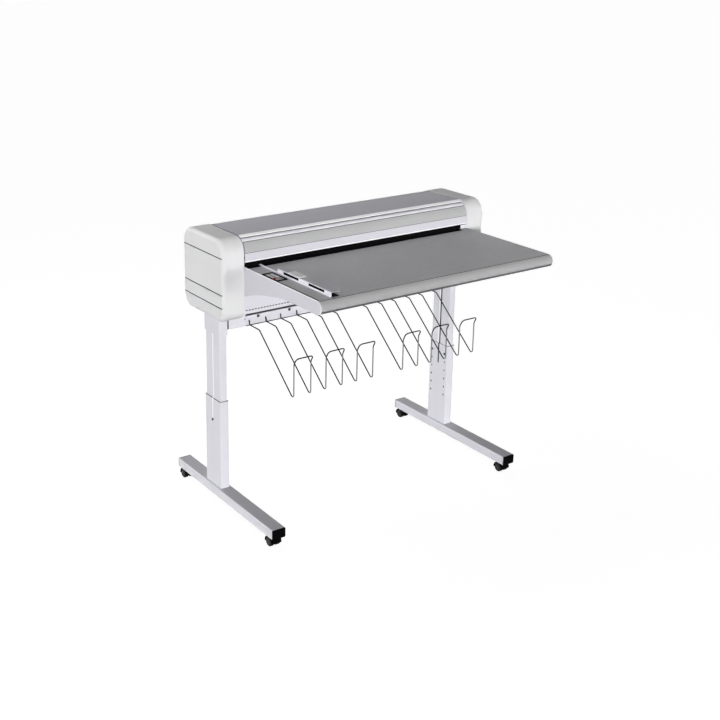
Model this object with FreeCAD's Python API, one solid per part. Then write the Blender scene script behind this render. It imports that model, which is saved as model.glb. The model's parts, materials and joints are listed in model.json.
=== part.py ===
import FreeCAD, Part
import math
import os

V = FreeCAD.Vector

# Plan folding machine on a height-adjustable stand. Millimetres, +Z up, front towards -Y.
# Everything is drawn from the plane through the columns' centres and moved at the end, so
# that the origin lies on the floor under the middle of the machine.

# Overall sizes
overall_width = 1312.0
head_front = 163.0
head_rear = 153.0
head_bottom = 836.0
head_height = 330.5
cap_width = 94.0
table_rise = 214.0
table_reach = 675.0
column_offset = 34.0
foot_front = 466.0
foot_rear = 290.0
foot_height = 46.0

# Moulded end caps
front_top_radius = 61.0
rear_top_radius = 60.0
rear_bottom_radius = 60.0
front_bottom_radius = 45.0
cap_edge_radius = 18.0
cap_wall = 4.0
cap_groove_drops = [71.0, 217.0, 270.0]
cap_groove_width = 4.6
cap_groove_depth = 2.5
cap_groove_front = 152.0
cap_post_radius = 6.0
cap_post_pilot_radius = 1.75
cap_post_inset = 32.0
cap_post_top_drop = 8.0
cap_post_pilot_depth = 20.0

# Sheet metal of the head
side_plate = 3.0
side_plate_inset = 2.0
panel_sheet = 2.0
end_gap = 0.3
inlet_inset = 99.0
inlet_width = 30.0
inlet_rise = 64.0
inlet_height = 24.0
inlet_depth = 24.0
inlet_ear = 8.0
inlet_wall = 3.0
inlet_recess_depth = 16.0
inlet_blade_spacing = 7.0
inlet_blade_offset = 2.5
rear_skin_end = 22.0
chute_back = 70.0
chute_rise = 74.0
chute_bend = 20.0

# Covers and their hinges
knuckle_radius = 9.0
cover_sheet = 2.5
cover_end_gap = 3.0
cover_flange = 14.0
seam_gap = 0.1
rear_hinge_gap = 1.5
rear_skin_flat = 1.5
upper_strip_start = 12.0
upper_strip_end = 26.0
strip_proud = 4.0
strip_depth = 7.0
front_hinge_angle = 37.0
front_hinge_sink = 2.0
band_start = 46.0
band_sheet = 3.0
throat_height = 17.0
throat_stop = 29.0
hinge_pin_radius = 2.5
hinge_pin_length = 22.0
running_clearance = 0.05

# Feed table, its nose and its side panels
table_sheet = 3.0
nose_radius = 25.0
nose_wall = 2.5
nose_strip = 8.0
nose_return = 45.0
nose_groove_start = 4.0
nose_groove_end = 14.0
nose_groove_depth = 1.3
panel_proud = 2.0
table_side_sheet = 4.0
side_arc_setback = 155.0
side_arc_radius = 1009.0
rib_width = 24.0
rib_depth = 30.0
rib_half_spacing = 190.0
rib_sheet = 2.0
rib_front_gap = 5.0
rib_rear_gap = 20.0
throat_plate_lap = 4.5
right_flange = 2.5
table_edge_gap = 0.5
table_side_lap = 31.0

# Side guide and keypad on the table
guide_inset = 68.0
guide_setback = 38.0
guide_head_gap = 4.0
guide_low_length = 123.0
guide_sheet = 2.0
guide_height = 17.5
guide_low_height = 5.5
guide_low_width = 4.0
guide_flange = 38.0
guide_window_count = 2
guide_window_rear_gap = 44.0
guide_window_front_gap = 39.0
guide_window_spacing = 67.0
guide_window_height = 7.0
guide_window_sill = 2.5
guide_window_proud = 1.5
guide_window_rim = 4.0
clip_length = 77.0
clip_width = 34.0
clip_height = 2.5
clip_lap = 35.5
clip_rear_gap = 66.5
keypad_inset = 30.0
keypad_head_gap = 165.0
keypad_width = 51.0
keypad_length = 106.0
keypad_frame = 8.0
keypad_frame_height = 3.0
keypad_lap = 3.0
keypad_depth = 8.0
key_count = 4
key_pitch = 12.0
key_width = 7.0
key_length = 14.0
key_rise = 2.0
key_travel = 1.2
key_clearance = 0.25
key_side_gap = 2.5
key_row_shift = 12.0
key_bevel = 0.6

# Rollers, gears and belt
gear_module = 1.5
feed_teeth = 24
fold_teeth = 32
nip = 0.3
roller_end_space = 57.0
shaft_radius = 6.0
bearing_radius = 11.0
bearing_width = 7.0
feed_roller_setback = 58.0
fold_nip_y = 32.0
fold_roller_drop = 105.0
gear_face = 8.0
gear_start = 3.0
pulley_face = 10.0
pulley_start = 13.0
feed_pulley_radius = 15.0
fold_pulley_radius = 20.0
motor_pulley_radius = 10.0
motor_y = 85.0
motor_rise = 28.0
motor_radius = 30.0
motor_length = 64.0
motor_shaft_radius = 5.0
motor_boss_radius = 9.0
belt_gap = 0.3
belt_thickness = 1.6
belt_width = 9.0
deflector_drop = 10.0
deflector_length = 62.0
deflector_sheet = 3.0

# Beam, exit slot and rack rail
column_depth = 120.0
column_width = 40.0
beam_drop = 65.0
beam_size = 40.0
beam_wall = 2.5
beam_end_gap = 4.0
beam_flange_setback = 6.0
panel_seam_drop = 1.0
panel_seam_width = 1.2
panel_seam_depth = 0.8
exit_slot_height = 7.0
exit_slot_end = 65.0
rail_sheet = 3.0

# Wire racks
wire_radius = 2.5
rack_width = 78.0
rack_left_inset = 119.0
rack_right_inset = 173.0
rack_group_gap = 81.0
racks_per_group = 3
rack_hole_rise = 22.0
rack_hole_clearance = 0.3
rack_hole_drop = 4.0
rack_hook_reach = 4.0
rack_run_rise = 4.5
rack_run_reach = 80.0
rack_bottom_reach = 327.0
rack_bottom_drop = 206.0
rack_flare_drop = 62.0
rack_top_reach = 342.0
rack_top_drop = 34.0
wire_sides = 6
wire_turn_step = 30.0
rack_bends = [6.0, 6.0, 16.0, 10.0, 14.0, 14.0]

# Stand: telescopic columns on feet
column_wall = 3.5
column_slide_gap = 0.5
leg_travel = 200.0
leg_travel_spare = 82.0
column_overlap = 167.0
column_head_length = 64.0
column_block_width = 80.0
column_block_height = 45.0
column_block_drop = 5.0
upper_column_wall = 3.0
column_corner = 4.0
collar_drop = 22.0
collar_gap = 0.3
guide_slot_width = 8.0
guide_slot_length = 97.0
groove_depth = 1.5
hole_radius = 3.5
hole_pitch = 40.0
hole_top_drop = 39.0
hole_foot_space = 140.0
hole_spacing = 87.0
screw_head_radius = 5.5
screw_head_height = 4.0
screw_fit = 0.2
slot_screw_rim = 0.7
foot_width = 60.0
foot_tube_height = 40.0
foot_wall = 2.5
foot_cap = 3.0
foot_cap_insert = 12.0
foot_cap_gap = 0.3

# Castors
castor_inset = 33.0
castor_trail = 9.0
castor_wheel_radius = 20.0
castor_tyre_width = 18.0
castor_web = 8.0
castor_side_gap = 0.7
castor_hood_gap = 1.0
castor_hood_wall = 3.0
castor_axle_radius = 3.0
castor_stem_radius = 5.0
castor_stem_length = 14.0
castor_boss_radius = 9.0
castor_disc_radius = 13.0

# Positions that follow from the sizes above
half_width = overall_width / 2
head_top = head_bottom + head_height
table_top = head_bottom + table_rise
throat_top = table_top + throat_height
cap_inner = half_width - cap_width
column_half_spacing = cap_inner + column_offset
plate_inner = cap_inner - side_plate
cover_half = plate_inner - cover_end_gap
centre_shift = (table_reach - foot_rear) / 2
beam_front = -column_depth / 2 + panel_sheet
beam_bottom = head_bottom - beam_drop
beam_top = beam_bottom + beam_size
exit_slot_bottom = beam_top + panel_sheet
exit_slot_half = plate_inner - exit_slot_end
roller_half_length = plate_inner - roller_end_space
table_under = table_top - table_sheet
nose_reach = table_reach - panel_proud
nose_centre_y = -(nose_reach - nose_radius)
side_arc_front = table_reach - side_arc_setback
feed_pitch_radius = gear_module * feed_teeth / 2
fold_pitch_radius = gear_module * fold_teeth / 2
feed_roller_radius = feed_pitch_radius - nip / 2
fold_roller_radius = fold_pitch_radius - nip / 2
feed_roller_y = -head_front + feed_roller_setback
lower_feed_z = table_top + 1.0 - feed_pitch_radius
upper_feed_z = lower_feed_z + 2 * feed_pitch_radius
fold_roller_z = table_top - fold_roller_drop
deflector_z = table_top - deflector_drop
motor_z = table_top + motor_rise
front_fold_y = fold_nip_y - fold_pitch_radius
rear_fold_y = fold_nip_y + fold_pitch_radius
head_arc_y = -head_front + front_top_radius
head_arc_z = head_top - front_top_radius
foot_top = foot_height + foot_tube_height
rear_hinge_back = head_rear - rear_top_radius - rear_skin_flat - rear_hinge_gap - knuckle_radius
rear_hinge_z = head_top - knuckle_radius
front_hinge_reach = front_top_radius + strip_proud - knuckle_radius - front_hinge_sink
guide_x = -plate_inner + guide_inset
guide_front = table_reach - guide_setback
guide_low_start = head_front + guide_head_gap
guide_wall_start = guide_low_start + guide_low_length
keypad_x = -plate_inner + keypad_inset
keypad_y = -head_front - keypad_head_gap
rack_span = 2 * plate_inner - rack_left_inset - rack_right_inset
rack_pitch = (rack_span - rack_group_gap) / (2 * racks_per_group - 1)
rack_hole_z = beam_bottom + rack_hole_rise
rail_front = -column_depth / 2 - rail_sheet
collar_bottom = beam_bottom - collar_drop
lower_column_top = collar_bottom - leg_travel - leg_travel_spare
upper_column_bottom = lower_column_top - column_overlap
upper_column_top = head_bottom + column_head_length
guide_slot_bottom = lower_column_top - guide_slot_length
hole_top = lower_column_top - hole_top_drop
hole_rows = 1 + math.floor((hole_top - foot_top - hole_foot_space) / hole_pitch)


# Plain solids

def box(x0, x1, y0, y1, z0, z1):
    return Part.makeBox(x1 - x0, y1 - y0, z1 - z0, V(x0, y0, z0))


def rod_x(x0, x1, y, z, radius):
    return Part.makeCylinder(radius, x1 - x0, V(x0, y, z), V(1, 0, 0))


def rod_z(x, y, z0, z1, radius):
    return Part.makeCylinder(radius, z1 - z0, V(x, y, z0), V(0, 0, 1))


def mirrored(shape):
    return shape.mirror(V(0, 0, 0), V(1, 0, 0))


def joined(shapes):
    body = shapes[0]
    for shape in shapes[1:]:
        body = body.fuse(shape)
    return body.removeSplitter()


# Outlines: each corner is (u, v, radius), in YZ for "x", XZ for "y" and XY for "z"

def place(axis, u, v, w):
    if axis == "x":
        return V(w, u, v)
    if axis == "y":
        return V(u, w, v)
    return V(u, v, w)


def unit(a, b):
    length = math.hypot(b[0] - a[0], b[1] - a[1])
    return (b[0] - a[0]) / length, (b[1] - a[1]) / length


def corner_arc(before, corner, after):
    """The tangent points and the middle of the arc that rounds one corner."""
    u, v, radius = corner
    a = unit(corner, before)
    b = unit(corner, after)
    half = math.acos(max(-1.0, min(1.0, a[0] * b[0] + a[1] * b[1]))) / 2
    reach = radius / math.tan(half)
    bisector = unit((0, 0), (a[0] + b[0], a[1] + b[1]))
    depth = radius / math.sin(half) - radius
    start = (u + a[0] * reach, v + a[1] * reach)
    middle = (u + bisector[0] * depth, v + bisector[1] * depth)
    end = (u + b[0] * reach, v + b[1] * reach)
    return start, middle, end


def rounded_wire(corners, axis, w):
    """Closed wire through the corners, each rounded by its own radius."""
    stations = []
    count = len(corners)
    for i in range(count):
        corner = corners[i]
        if corner[2] > 0:
            stations.append(corner_arc(corners[i - 1], corner, corners[(i + 1) % count]))
        else:
            point = (corner[0], corner[1])
            stations.append((point, None, point))
    edges = []
    for i in range(count):
        start, middle, end = stations[i]
        if middle is not None:
            points = [place(axis, p[0], p[1], w) for p in (start, middle, end)]
            edges.append(Part.Arc(*points).toShape())
        following = stations[(i + 1) % count][0]
        if math.hypot(following[0] - end[0], following[1] - end[1]) > 1e-6:
            a = place(axis, end[0], end[1], w)
            b = place(axis, following[0], following[1], w)
            edges.append(Part.LineSegment(a, b).toShape())
    return Part.Wire(edges)


def prism(axis, corners, w0, w1):
    face = Part.Face(rounded_wire(corners, axis, w0))
    return face.extrude(place(axis, 0, 0, w1 - w0))


def offset_path(path, distance):
    """The open path moved to the left of its direction, its bends kept concentric."""
    moved = []
    for i in range(len(path)):
        u, v, radius = path[i]
        before = unit(path[i - 1], path[i]) if i > 0 else unit(path[0], path[1])
        after = unit(path[i], path[i + 1]) if i < len(path) - 1 else before
        normal = (-before[1] - after[1], before[0] + after[0])
        scale = distance / (1 + before[0] * after[0] + before[1] * after[1])
        turn = before[0] * after[1] - before[1] * after[0]
        inner = max(radius - math.copysign(distance, turn), 0) if radius > 0 else 0
        moved.append((u + normal[0] * scale, v + normal[1] * scale, inner))
    return moved


def bent_sheet(axis, path, thickness, w0, w1):
    """Folded sheet whose one side follows the path, with its thickness on the path's left."""
    outline = path + offset_path(path, thickness)[::-1]
    return prism(axis, outline, w0, w1)


def rectangle(u0, u1, v0, v1, radius=0.0):
    return [(u0, v0, radius), (u1, v0, radius), (u1, v1, radius), (u0, v1, radius)]


def turned_x(y, z, steps):
    """Solid of revolution about the line along X through (y, z); steps are (x, radius)."""
    points = [V(x, y, z + radius) for x, radius in steps]
    face = Part.Face(Part.makePolygon(points + [points[0]]))
    return face.revolve(V(0, y, z), V(1, 0, 0), 360)


# Gears and belt

def gear(teeth, x0, x1, y, z, phase, bore):
    """Spur gear whose flanks are chords of the involute, with a little backlash."""
    pressure = math.radians(20)
    pitch = gear_module * teeth / 2
    base = pitch * math.cos(pressure)
    tip = pitch + 0.9 * gear_module
    root = pitch - 1.2 * gear_module
    backlash = 0.12 / pitch
    half_at_pitch = math.pi / (2 * teeth) - backlash
    involute_at_pitch = math.tan(pressure) - pressure

    def half_angle(radius):
        if radius <= base:
            return half_at_pitch + involute_at_pitch
        roll = math.acos(base / radius)
        return half_at_pitch + involute_at_pitch - (math.tan(roll) - roll)

    points = []
    for tooth in range(teeth):
        middle = phase + 2 * math.pi * tooth / teeth
        for radius, side in ((root, -1), (tip, -1), (tip, 1), (root, 1)):
            angle = middle + side * half_angle(radius)
            points.append(V(x0, y + radius * math.cos(angle), z + radius * math.sin(angle)))
    face = Part.Face(Part.makePolygon(points + [points[0]]))
    body = face.extrude(V(x1 - x0, 0, 0))
    return body.cut(rod_x(x0 - 1, x1 + 1, y, z, bore))


def belt_wire(pulleys, extra, x):
    """Closed wire of arcs and outer tangents round pulleys listed counter-clockwise."""
    count = len(pulleys)
    leaves, arrives = [], []
    for i in range(count):
        y0, z0, r0 = pulleys[i]
        y1, z1, r1 = pulleys[(i + 1) % count]
        distance = math.hypot(y1 - y0, z1 - z0)
        along = math.atan2(z1 - z0, y1 - y0)
        angle = along - math.acos((r0 - r1) / distance)
        leaves.append(angle)
        arrives.append(angle)
    edges = []
    for i in range(count):
        y0, z0, r0 = pulleys[i]
        y1, z1, r1 = pulleys[(i + 1) % count]

        def rim(cy, cz, radius, angle):
            reach = radius + extra
            return V(x, cy + reach * math.cos(angle), cz + reach * math.sin(angle))

        start = arrives[i - 1]
        end = leaves[i]
        while end < start:
            end += 2 * math.pi
        arc = [rim(y0, z0, r0, start), rim(y0, z0, r0, (start + end) / 2), rim(y0, z0, r0, end)]
        edges.append(Part.Arc(*arc).toShape())
        edges.append(Part.LineSegment(arc[2], rim(y1, z1, r1, end)).toShape())
    return Part.Wire(edges)


# Faceted round wire

def rounded_path(points, radii, step):
    """Points along straight runs, with each inner corner turned in equal small steps."""
    path = [points[0]]
    for i in range(1, len(points) - 1):
        corner = points[i]
        a = (points[i - 1] - corner).normalize()
        b = (points[i + 1] - corner).normalize()
        turn = math.pi - math.acos(a.dot(b))
        centre = corner + (a + b).normalize() * (radii[i - 1] / math.cos(turn / 2))
        start = corner + a * (radii[i - 1] * math.tan(turn / 2))
        spoke = start - centre
        axis = a.cross(b).negative()
        count = max(1, math.ceil(math.degrees(turn) / step - 0.01))
        for k in range(count + 1):
            spin = FreeCAD.Rotation(axis, math.degrees(turn) * k / count)
            path.append(centre + spin.multVec(spoke))
    path.append(points[-1])
    return path


def faceted_wire(path, radius, sides):
    """Tube of flat faces along the path, mitred where it turns."""
    first = (path[1] - path[0]).normalize()
    across = first.cross(V(1, 0, 0) if abs(first.x) < 0.9 else V(0, 0, 1)).normalize()
    other = first.cross(across)
    ring = []
    for k in range(sides):
        angle = 2 * math.pi * (k + 0.5) / sides
        ring.append(path[0] + across * (radius * math.cos(angle)) + other * (radius * math.sin(angle)))
    rings = [ring]
    for i in range(1, len(path)):
        run = (path[i] - path[i - 1]).normalize()
        if i < len(path) - 1:
            plane = (run + (path[i + 1] - path[i]).normalize()).normalize()
        else:
            plane = run
        shifted = []
        for corner in rings[-1]:
            travel = (path[i] - corner).dot(plane) / run.dot(plane)
            shifted.append(corner + run * travel)
        rings.append(shifted)
    faces = [Part.Face(Part.makePolygon(rings[0] + [rings[0][0]]))]
    for a, b in zip(rings, rings[1:]):
        for k in range(sides):
            n = (k + 1) % sides
            faces.append(Part.Face(Part.makePolygon([a[k], a[n], b[n], b[k], a[k]])))
    faces.append(Part.Face(Part.makePolygon(rings[-1] + [rings[-1][0]])))
    solid = Part.Solid(Part.Shell(faces))
    if solid.Volume < 0:
        solid.reverse()
    return solid


# Head casing

def head_outline(inset):
    return [
        (-head_front + inset, head_top - inset, front_top_radius - inset),
        (-head_front + inset, head_bottom + inset, front_bottom_radius - inset),
        (head_rear - inset, head_bottom + inset, rear_bottom_radius - inset),
        (head_rear - inset, head_top - inset, rear_top_radius - inset),
    ]


def end_cap():
    """Moulded shell on the right, open towards the machine, with screw posts inside."""
    shell = prism("x", head_outline(0), cap_inner, half_width)
    rim = [e for e in shell.Edges if abs(e.BoundBox.XMin - half_width) < 1e-6]
    shell = shell.makeFillet(cap_edge_radius, rim)
    floor = half_width - cap_wall
    cavity = prism("x", head_outline(cap_wall), cap_inner - 1, floor)
    rim = [e for e in cavity.Edges if abs(e.BoundBox.XMin - floor) < 1e-6]
    shell = shell.cut(cavity.makeFillet(cap_edge_radius - cap_wall, rim))
    for drop in cap_groove_drops:
        height = head_top - drop
        groove = box(half_width - cap_groove_depth, half_width + 1, -cap_groove_front,
                     head_rear + 1, height - cap_groove_width / 2, height + cap_groove_width / 2)
        tip = rod_x(half_width - cap_groove_depth, half_width + 1, -cap_groove_front, height,
                    cap_groove_width / 2)
        shell = shell.cut(groove.fuse(tip))
    gap = column_slide_gap
    column_hole = box(column_half_spacing - column_width / 2 + gap,
                      column_half_spacing + column_width / 2 - gap,
                      -column_depth / 2 + gap, column_depth / 2 - gap,
                      head_bottom - 1, head_bottom + cap_wall + 1)
    shell = shell.cut(column_hole)
    posts = []
    for y in (-head_front + cap_post_inset, head_rear - cap_post_inset):
        for z in (head_bottom + cap_post_inset, head_top - cap_post_inset - cap_post_top_drop):
            post = rod_x(cap_inner, floor + 1, y, z, cap_post_radius)
            pilot = rod_x(cap_inner - 1, cap_inner + cap_post_pilot_depth, y, z,
                          cap_post_pilot_radius)
            posts.append(post.cut(pilot))
    return joined([shell] + posts)


def shaft_places():
    """Every shaft carried by the side plates: (y, z, radius)."""
    return [
        (feed_roller_y, lower_feed_z, shaft_radius),
        (feed_roller_y, upper_feed_z, shaft_radius),
        (front_fold_y, fold_roller_z, shaft_radius),
        (rear_fold_y, fold_roller_z, shaft_radius),
        (fold_nip_y, deflector_z, motor_shaft_radius),
    ]


def front_hinge_place():
    angle = math.radians(front_hinge_angle)
    y = head_arc_y - front_hinge_reach * math.sin(angle)
    z = head_arc_z + front_hinge_reach * math.cos(angle)
    return y, z


def hinge_places():
    return [(rear_hinge_back, rear_hinge_z), front_hinge_place()]


def side_plate_blank():
    plate = prism("x", head_outline(side_plate_inset), plate_inner, cap_inner)
    for place_yz in shaft_places():
        plate = plate.cut(rod_x(plate_inner - 1, cap_inner + 1, place_yz[0], place_yz[1],
                                bearing_radius))
    for y, z in hinge_places():
        plate = plate.cut(rod_x(plate_inner - 1, cap_inner + 1, y, z, hinge_pin_radius))
    return plate


def side_plate_right():
    """Plate with a lug bent in to close the throat's right end."""
    front = -head_front + side_plate_inset
    lug = box(plate_inner - throat_stop, plate_inner + 1, front, front + side_plate,
              table_top + end_gap, throat_top - end_gap)
    return joined([side_plate_blank(), lug])


def side_plate_left():
    """Mirror image, with the motor's hole and no lug."""
    plate = mirrored(side_plate_blank())
    return plate.cut(rod_x(-cap_inner - 1, -plate_inner + 1, motor_y, motor_z, motor_boss_radius))


def bearings():
    rings = []
    for y, z, radius in shaft_places():
        for side in (-1, 1):
            middle = side * (plate_inner + side_plate / 2)
            ring = rod_x(middle - bearing_width / 2, middle + bearing_width / 2, y, z,
                         bearing_radius)
            hole = rod_x(middle - bearing_width, middle + bearing_width, y, z,
                         radius + running_clearance)
            rings.append(ring.cut(hole))
    return Part.makeCompound(rings)


def rear_panel():
    """Skin from the cover's rear hinge round the back and under to the exit chute."""
    half = plate_inner - end_gap
    inset = side_plate_inset
    start = rear_hinge_back + knuckle_radius + rear_hinge_gap
    path = [
        (start, head_top - inset, 0),
        (head_rear - inset, head_top - inset, rear_top_radius - inset),
        (head_rear - inset, head_bottom + inset, rear_bottom_radius - inset),
        (rear_skin_end, head_bottom + inset, 0),
    ]
    reversed_path = path[::-1]
    panel = bent_sheet("x", reversed_path, panel_sheet, -half, half)
    x0, x1, z0, z1 = inlet_cutout()
    return panel.cut(box(x0, x1, head_rear - 20, head_rear + 1, z0, z1))


def inlet_cutout():
    x1 = plate_inner - inlet_inset
    z0 = head_bottom + inlet_rise
    return x1 - inlet_width, x1, z0, z0 + inlet_height


def power_inlet():
    """Appliance inlet: flange on the rear panel, body behind it, recess with three blades."""
    x0, x1, z0, z1 = inlet_cutout()
    face = head_rear - side_plate_inset
    wall = inlet_wall
    gap = end_gap
    flange = box(x0 - inlet_ear, x1 + inlet_ear, face, face + 1.8, z0 - wall, z1 + wall)
    body = box(x0 + gap, x1 - gap, face - inlet_depth, face + 0.5, z0 + gap, z1 - gap)
    recess = box(x0 + wall, x1 - wall, face - inlet_recess_depth, face + wall, z0 + wall,
                 z1 - wall)
    shape = joined([flange, body]).cut(recess)
    middle_x = (x0 + x1) / 2
    middle_z = (z0 + z1) / 2
    blades = []
    for k, dz in ((-1, -inlet_blade_offset), (0, inlet_blade_offset), (1, -inlet_blade_offset)):
        x = middle_x + k * inlet_blade_spacing
        z = middle_z + dz
        blades.append(box(x - 1, x + 1, face - inlet_recess_depth - 1, face - wall, z - 2, z + 2))
    return joined([shape] + blades)


def rack_wire_places():
    first = -plate_inner + rack_left_inset
    second = first + racks_per_group * rack_pitch + rack_group_gap
    return [start + k * rack_pitch for start in (first, second) for k in range(racks_per_group)]


def rack_holes(y0, y1):
    """Punched slots that the bent ends of the racks' wires hook into."""
    half = wire_radius + rack_hole_clearance
    cuts = []
    for centre in rack_wire_places():
        for x in (centre - rack_width / 2, centre + rack_width / 2):
            cuts.append(box(x - half, x + half, y0, y1, rack_hole_z - half - rack_hole_drop,
                            rack_hole_z + half))
    return Part.makeCompound(cuts)


def exit_panel():
    """Front skin under the table, with a seam over the exit slot for folded plans."""
    front = -column_depth / 2
    half = plate_inner - end_gap
    wide = column_half_spacing - column_width / 2 - beam_end_gap
    upper = box(-half, half, front, front + panel_sheet, beam_bottom, table_under - 1)
    lower = box(-wide, wide, front, front + panel_sheet, beam_bottom, head_bottom - 3)
    panel = joined([upper, lower])
    seam = head_bottom - panel_seam_drop
    panel = panel.cut(box(-exit_slot_half, exit_slot_half, front - 1, front + panel_seam_depth,
                          seam - panel_seam_width / 2, seam + panel_seam_width / 2))
    top = exit_slot_bottom + exit_slot_height
    slot = rectangle(-exit_slot_half, exit_slot_half, exit_slot_bottom, top)
    panel = panel.cut(prism("y", slot, front - 1, front + panel_sheet + 1))
    return panel.cut(rack_holes(front - 1, front + panel_sheet + 1))


def cross_beam():
    """Box-section beam between the columns' collars, with set-back end flanges."""
    end = column_half_spacing - column_width / 2
    tube_end = end - beam_end_gap
    y0, y1 = beam_front, beam_front + beam_size
    z0, z1 = beam_bottom, beam_top
    tube = prism("x", rectangle(y0, y1, z0, z1), -tube_end, tube_end)
    wall = beam_wall
    tube = tube.cut(box(-tube_end - 1, tube_end + 1, y0 + wall, y1 - wall, z0 + wall, z1 - wall))
    flanges = []
    for side in (-1, 1):
        a, b = sorted((side * tube_end, side * end))
        flanges.append(box(a, b, y0 + beam_flange_setback, y1, z0, z1))
    beam = joined([tube] + flanges)
    return beam.cut(rack_holes(y0 - 1, y0 + wall + 1))


def rack_rail():
    front = -column_depth / 2
    rail = box(-exit_slot_half, exit_slot_half, front - rail_sheet, front, beam_bottom, exit_slot_bottom)
    return rail.cut(rack_holes(front - rail_sheet - 1, front + 1))


def exit_chute():
    """Sloping floor that brings folded plans down to the exit slot."""
    half = plate_inner - end_gap
    path = [
        (beam_front + 0.3, beam_top, 0),
        (beam_front + beam_size, beam_top, chute_bend),
        (chute_back, beam_top + chute_rise, 0),
    ]
    return bent_sheet("x", path, panel_sheet, -half, half)


# Covers

def arc_band(centre, inner, outer, start, end, x0, x1):
    """Band bent about the line along X through (y, z); angles run forwards from straight up."""
    def rim(radius, angle):
        a = math.radians(angle)
        return V(x0, centre[0] - radius * math.sin(a), centre[1] + radius * math.cos(a))
    middle = (start + end) / 2
    edges = [
        Part.Arc(rim(outer, start), rim(outer, middle), rim(outer, end)).toShape(),
        Part.LineSegment(rim(outer, end), rim(inner, end)).toShape(),
        Part.Arc(rim(inner, end), rim(inner, middle), rim(inner, start)).toShape(),
        Part.LineSegment(rim(inner, start), rim(outer, start)).toShape(),
    ]
    return Part.Face(Part.Wire(edges)).extrude(V(x1 - x0, 0, 0))


def arc_sheet(inner, outer, start, end, x0, x1):
    """Sheet bent about the head's front top arc."""
    return arc_band((head_arc_y, head_arc_z), inner, outer, start, end, x0, x1)


def knuckle(y, z):
    """Round hinge bead over the cover's whole width, bored at both ends for the pins."""
    bead = rod_x(-cover_half, cover_half, y, z, knuckle_radius)
    bore = hinge_pin_radius + running_clearance
    depth = hinge_pin_length + 3
    bead = bead.cut(rod_x(-cover_half - 1, -cover_half + depth, y, z, bore))
    return bead.cut(rod_x(cover_half - depth, cover_half + 1, y, z, bore))


def top_cover():
    """Flat lid with turned-down ends, hinged in its rear bead."""
    inner = head_top - cover_sheet
    skin = box(-cover_half, cover_half, head_arc_y, rear_hinge_back, inner, head_top)
    curve = arc_sheet(front_top_radius - cover_sheet, front_top_radius, 0, upper_strip_start,
                      -cover_half, cover_half)
    parts = [skin, curve, knuckle(rear_hinge_back, rear_hinge_z)]
    for x0, x1 in ((-cover_half, -cover_half + cover_sheet), (cover_half - cover_sheet, cover_half)):
        parts.append(box(x0, x1, head_arc_y, rear_hinge_back - knuckle_radius - 3,
                         head_top - cover_flange, head_top - 1))
    return joined(parts)


def top_cover_profile():
    """Aluminium lip along the lid's front edge, proud of the casing as a finger grip."""
    outer = front_top_radius + strip_proud
    lip = arc_sheet(outer - strip_depth, outer, upper_strip_start, upper_strip_end,
                    -cover_half, cover_half)
    under = front_top_radius - cover_sheet - seam_gap
    tongue = arc_sheet(under - 2, under, upper_strip_start - 8, upper_strip_start + 2,
                       -cover_half + 4, cover_half - 4)
    return joined([lip, tongue])


def front_cover_profile():
    """Round-nosed hinge bead of the front cover, with a tongue behind the band."""
    y, z = front_hinge_place()
    inner = front_top_radius - band_sheet
    tongue = arc_sheet(inner - 2, inner - seam_gap, front_hinge_angle + 4, band_start + 10,
                       -cover_half, cover_half)
    bead = rod_x(-cover_half, cover_half, y, z, knuckle_radius)
    body = joined([bead, tongue])
    bore = hinge_pin_radius + running_clearance
    depth = hinge_pin_length + 3
    body = body.cut(rod_x(-cover_half - 1, -cover_half + depth, y, z, bore))
    return body.cut(rod_x(cover_half - depth, cover_half + 1, y, z, bore))


def front_cover():
    """Band that follows the caps' front curve from the hinge bead to the white strip."""
    inner = front_top_radius - band_sheet
    band = arc_sheet(inner, front_top_radius, band_start, 90, -cover_half, cover_half)
    y, z = front_hinge_place()
    return band.cut(rod_x(-cover_half - 1, cover_half + 1, y, z, knuckle_radius))


def front_strip():
    """White strip above the throat, turned in along its lower edge."""
    top = head_arc_z
    front = -head_front
    strip = box(-cover_half, cover_half, front, front + band_sheet, throat_top, top)
    lip = box(-cover_half, cover_half, front, front + 14, throat_top, throat_top + cover_sheet)
    inner = front_top_radius - band_sheet
    tongue = arc_sheet(inner - 2, inner - seam_gap, 80, 90, -cover_half, cover_half)
    backing = box(-cover_half, cover_half, front + band_sheet - 0.5, front + band_sheet + 2,
                  top - 12, top)
    return joined([strip, lip, tongue, backing])


def hinge_pins():
    pins = []
    for y, z in hinge_places():
        for side in (-1, 1):
            a, b = sorted((side * cap_inner, side * (cover_half - hinge_pin_length)))
            pins.append(rod_x(a, b, y, z, hinge_pin_radius))
    return Part.makeCompound(pins)


# Feed table

def keypad_opening(extra):
    half_x = keypad_width / 2 - keypad_lap + extra
    half_y = keypad_length / 2 - keypad_lap + extra
    return keypad_x - half_x, keypad_x + half_x, keypad_y - half_y, keypad_y + half_y


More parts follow.
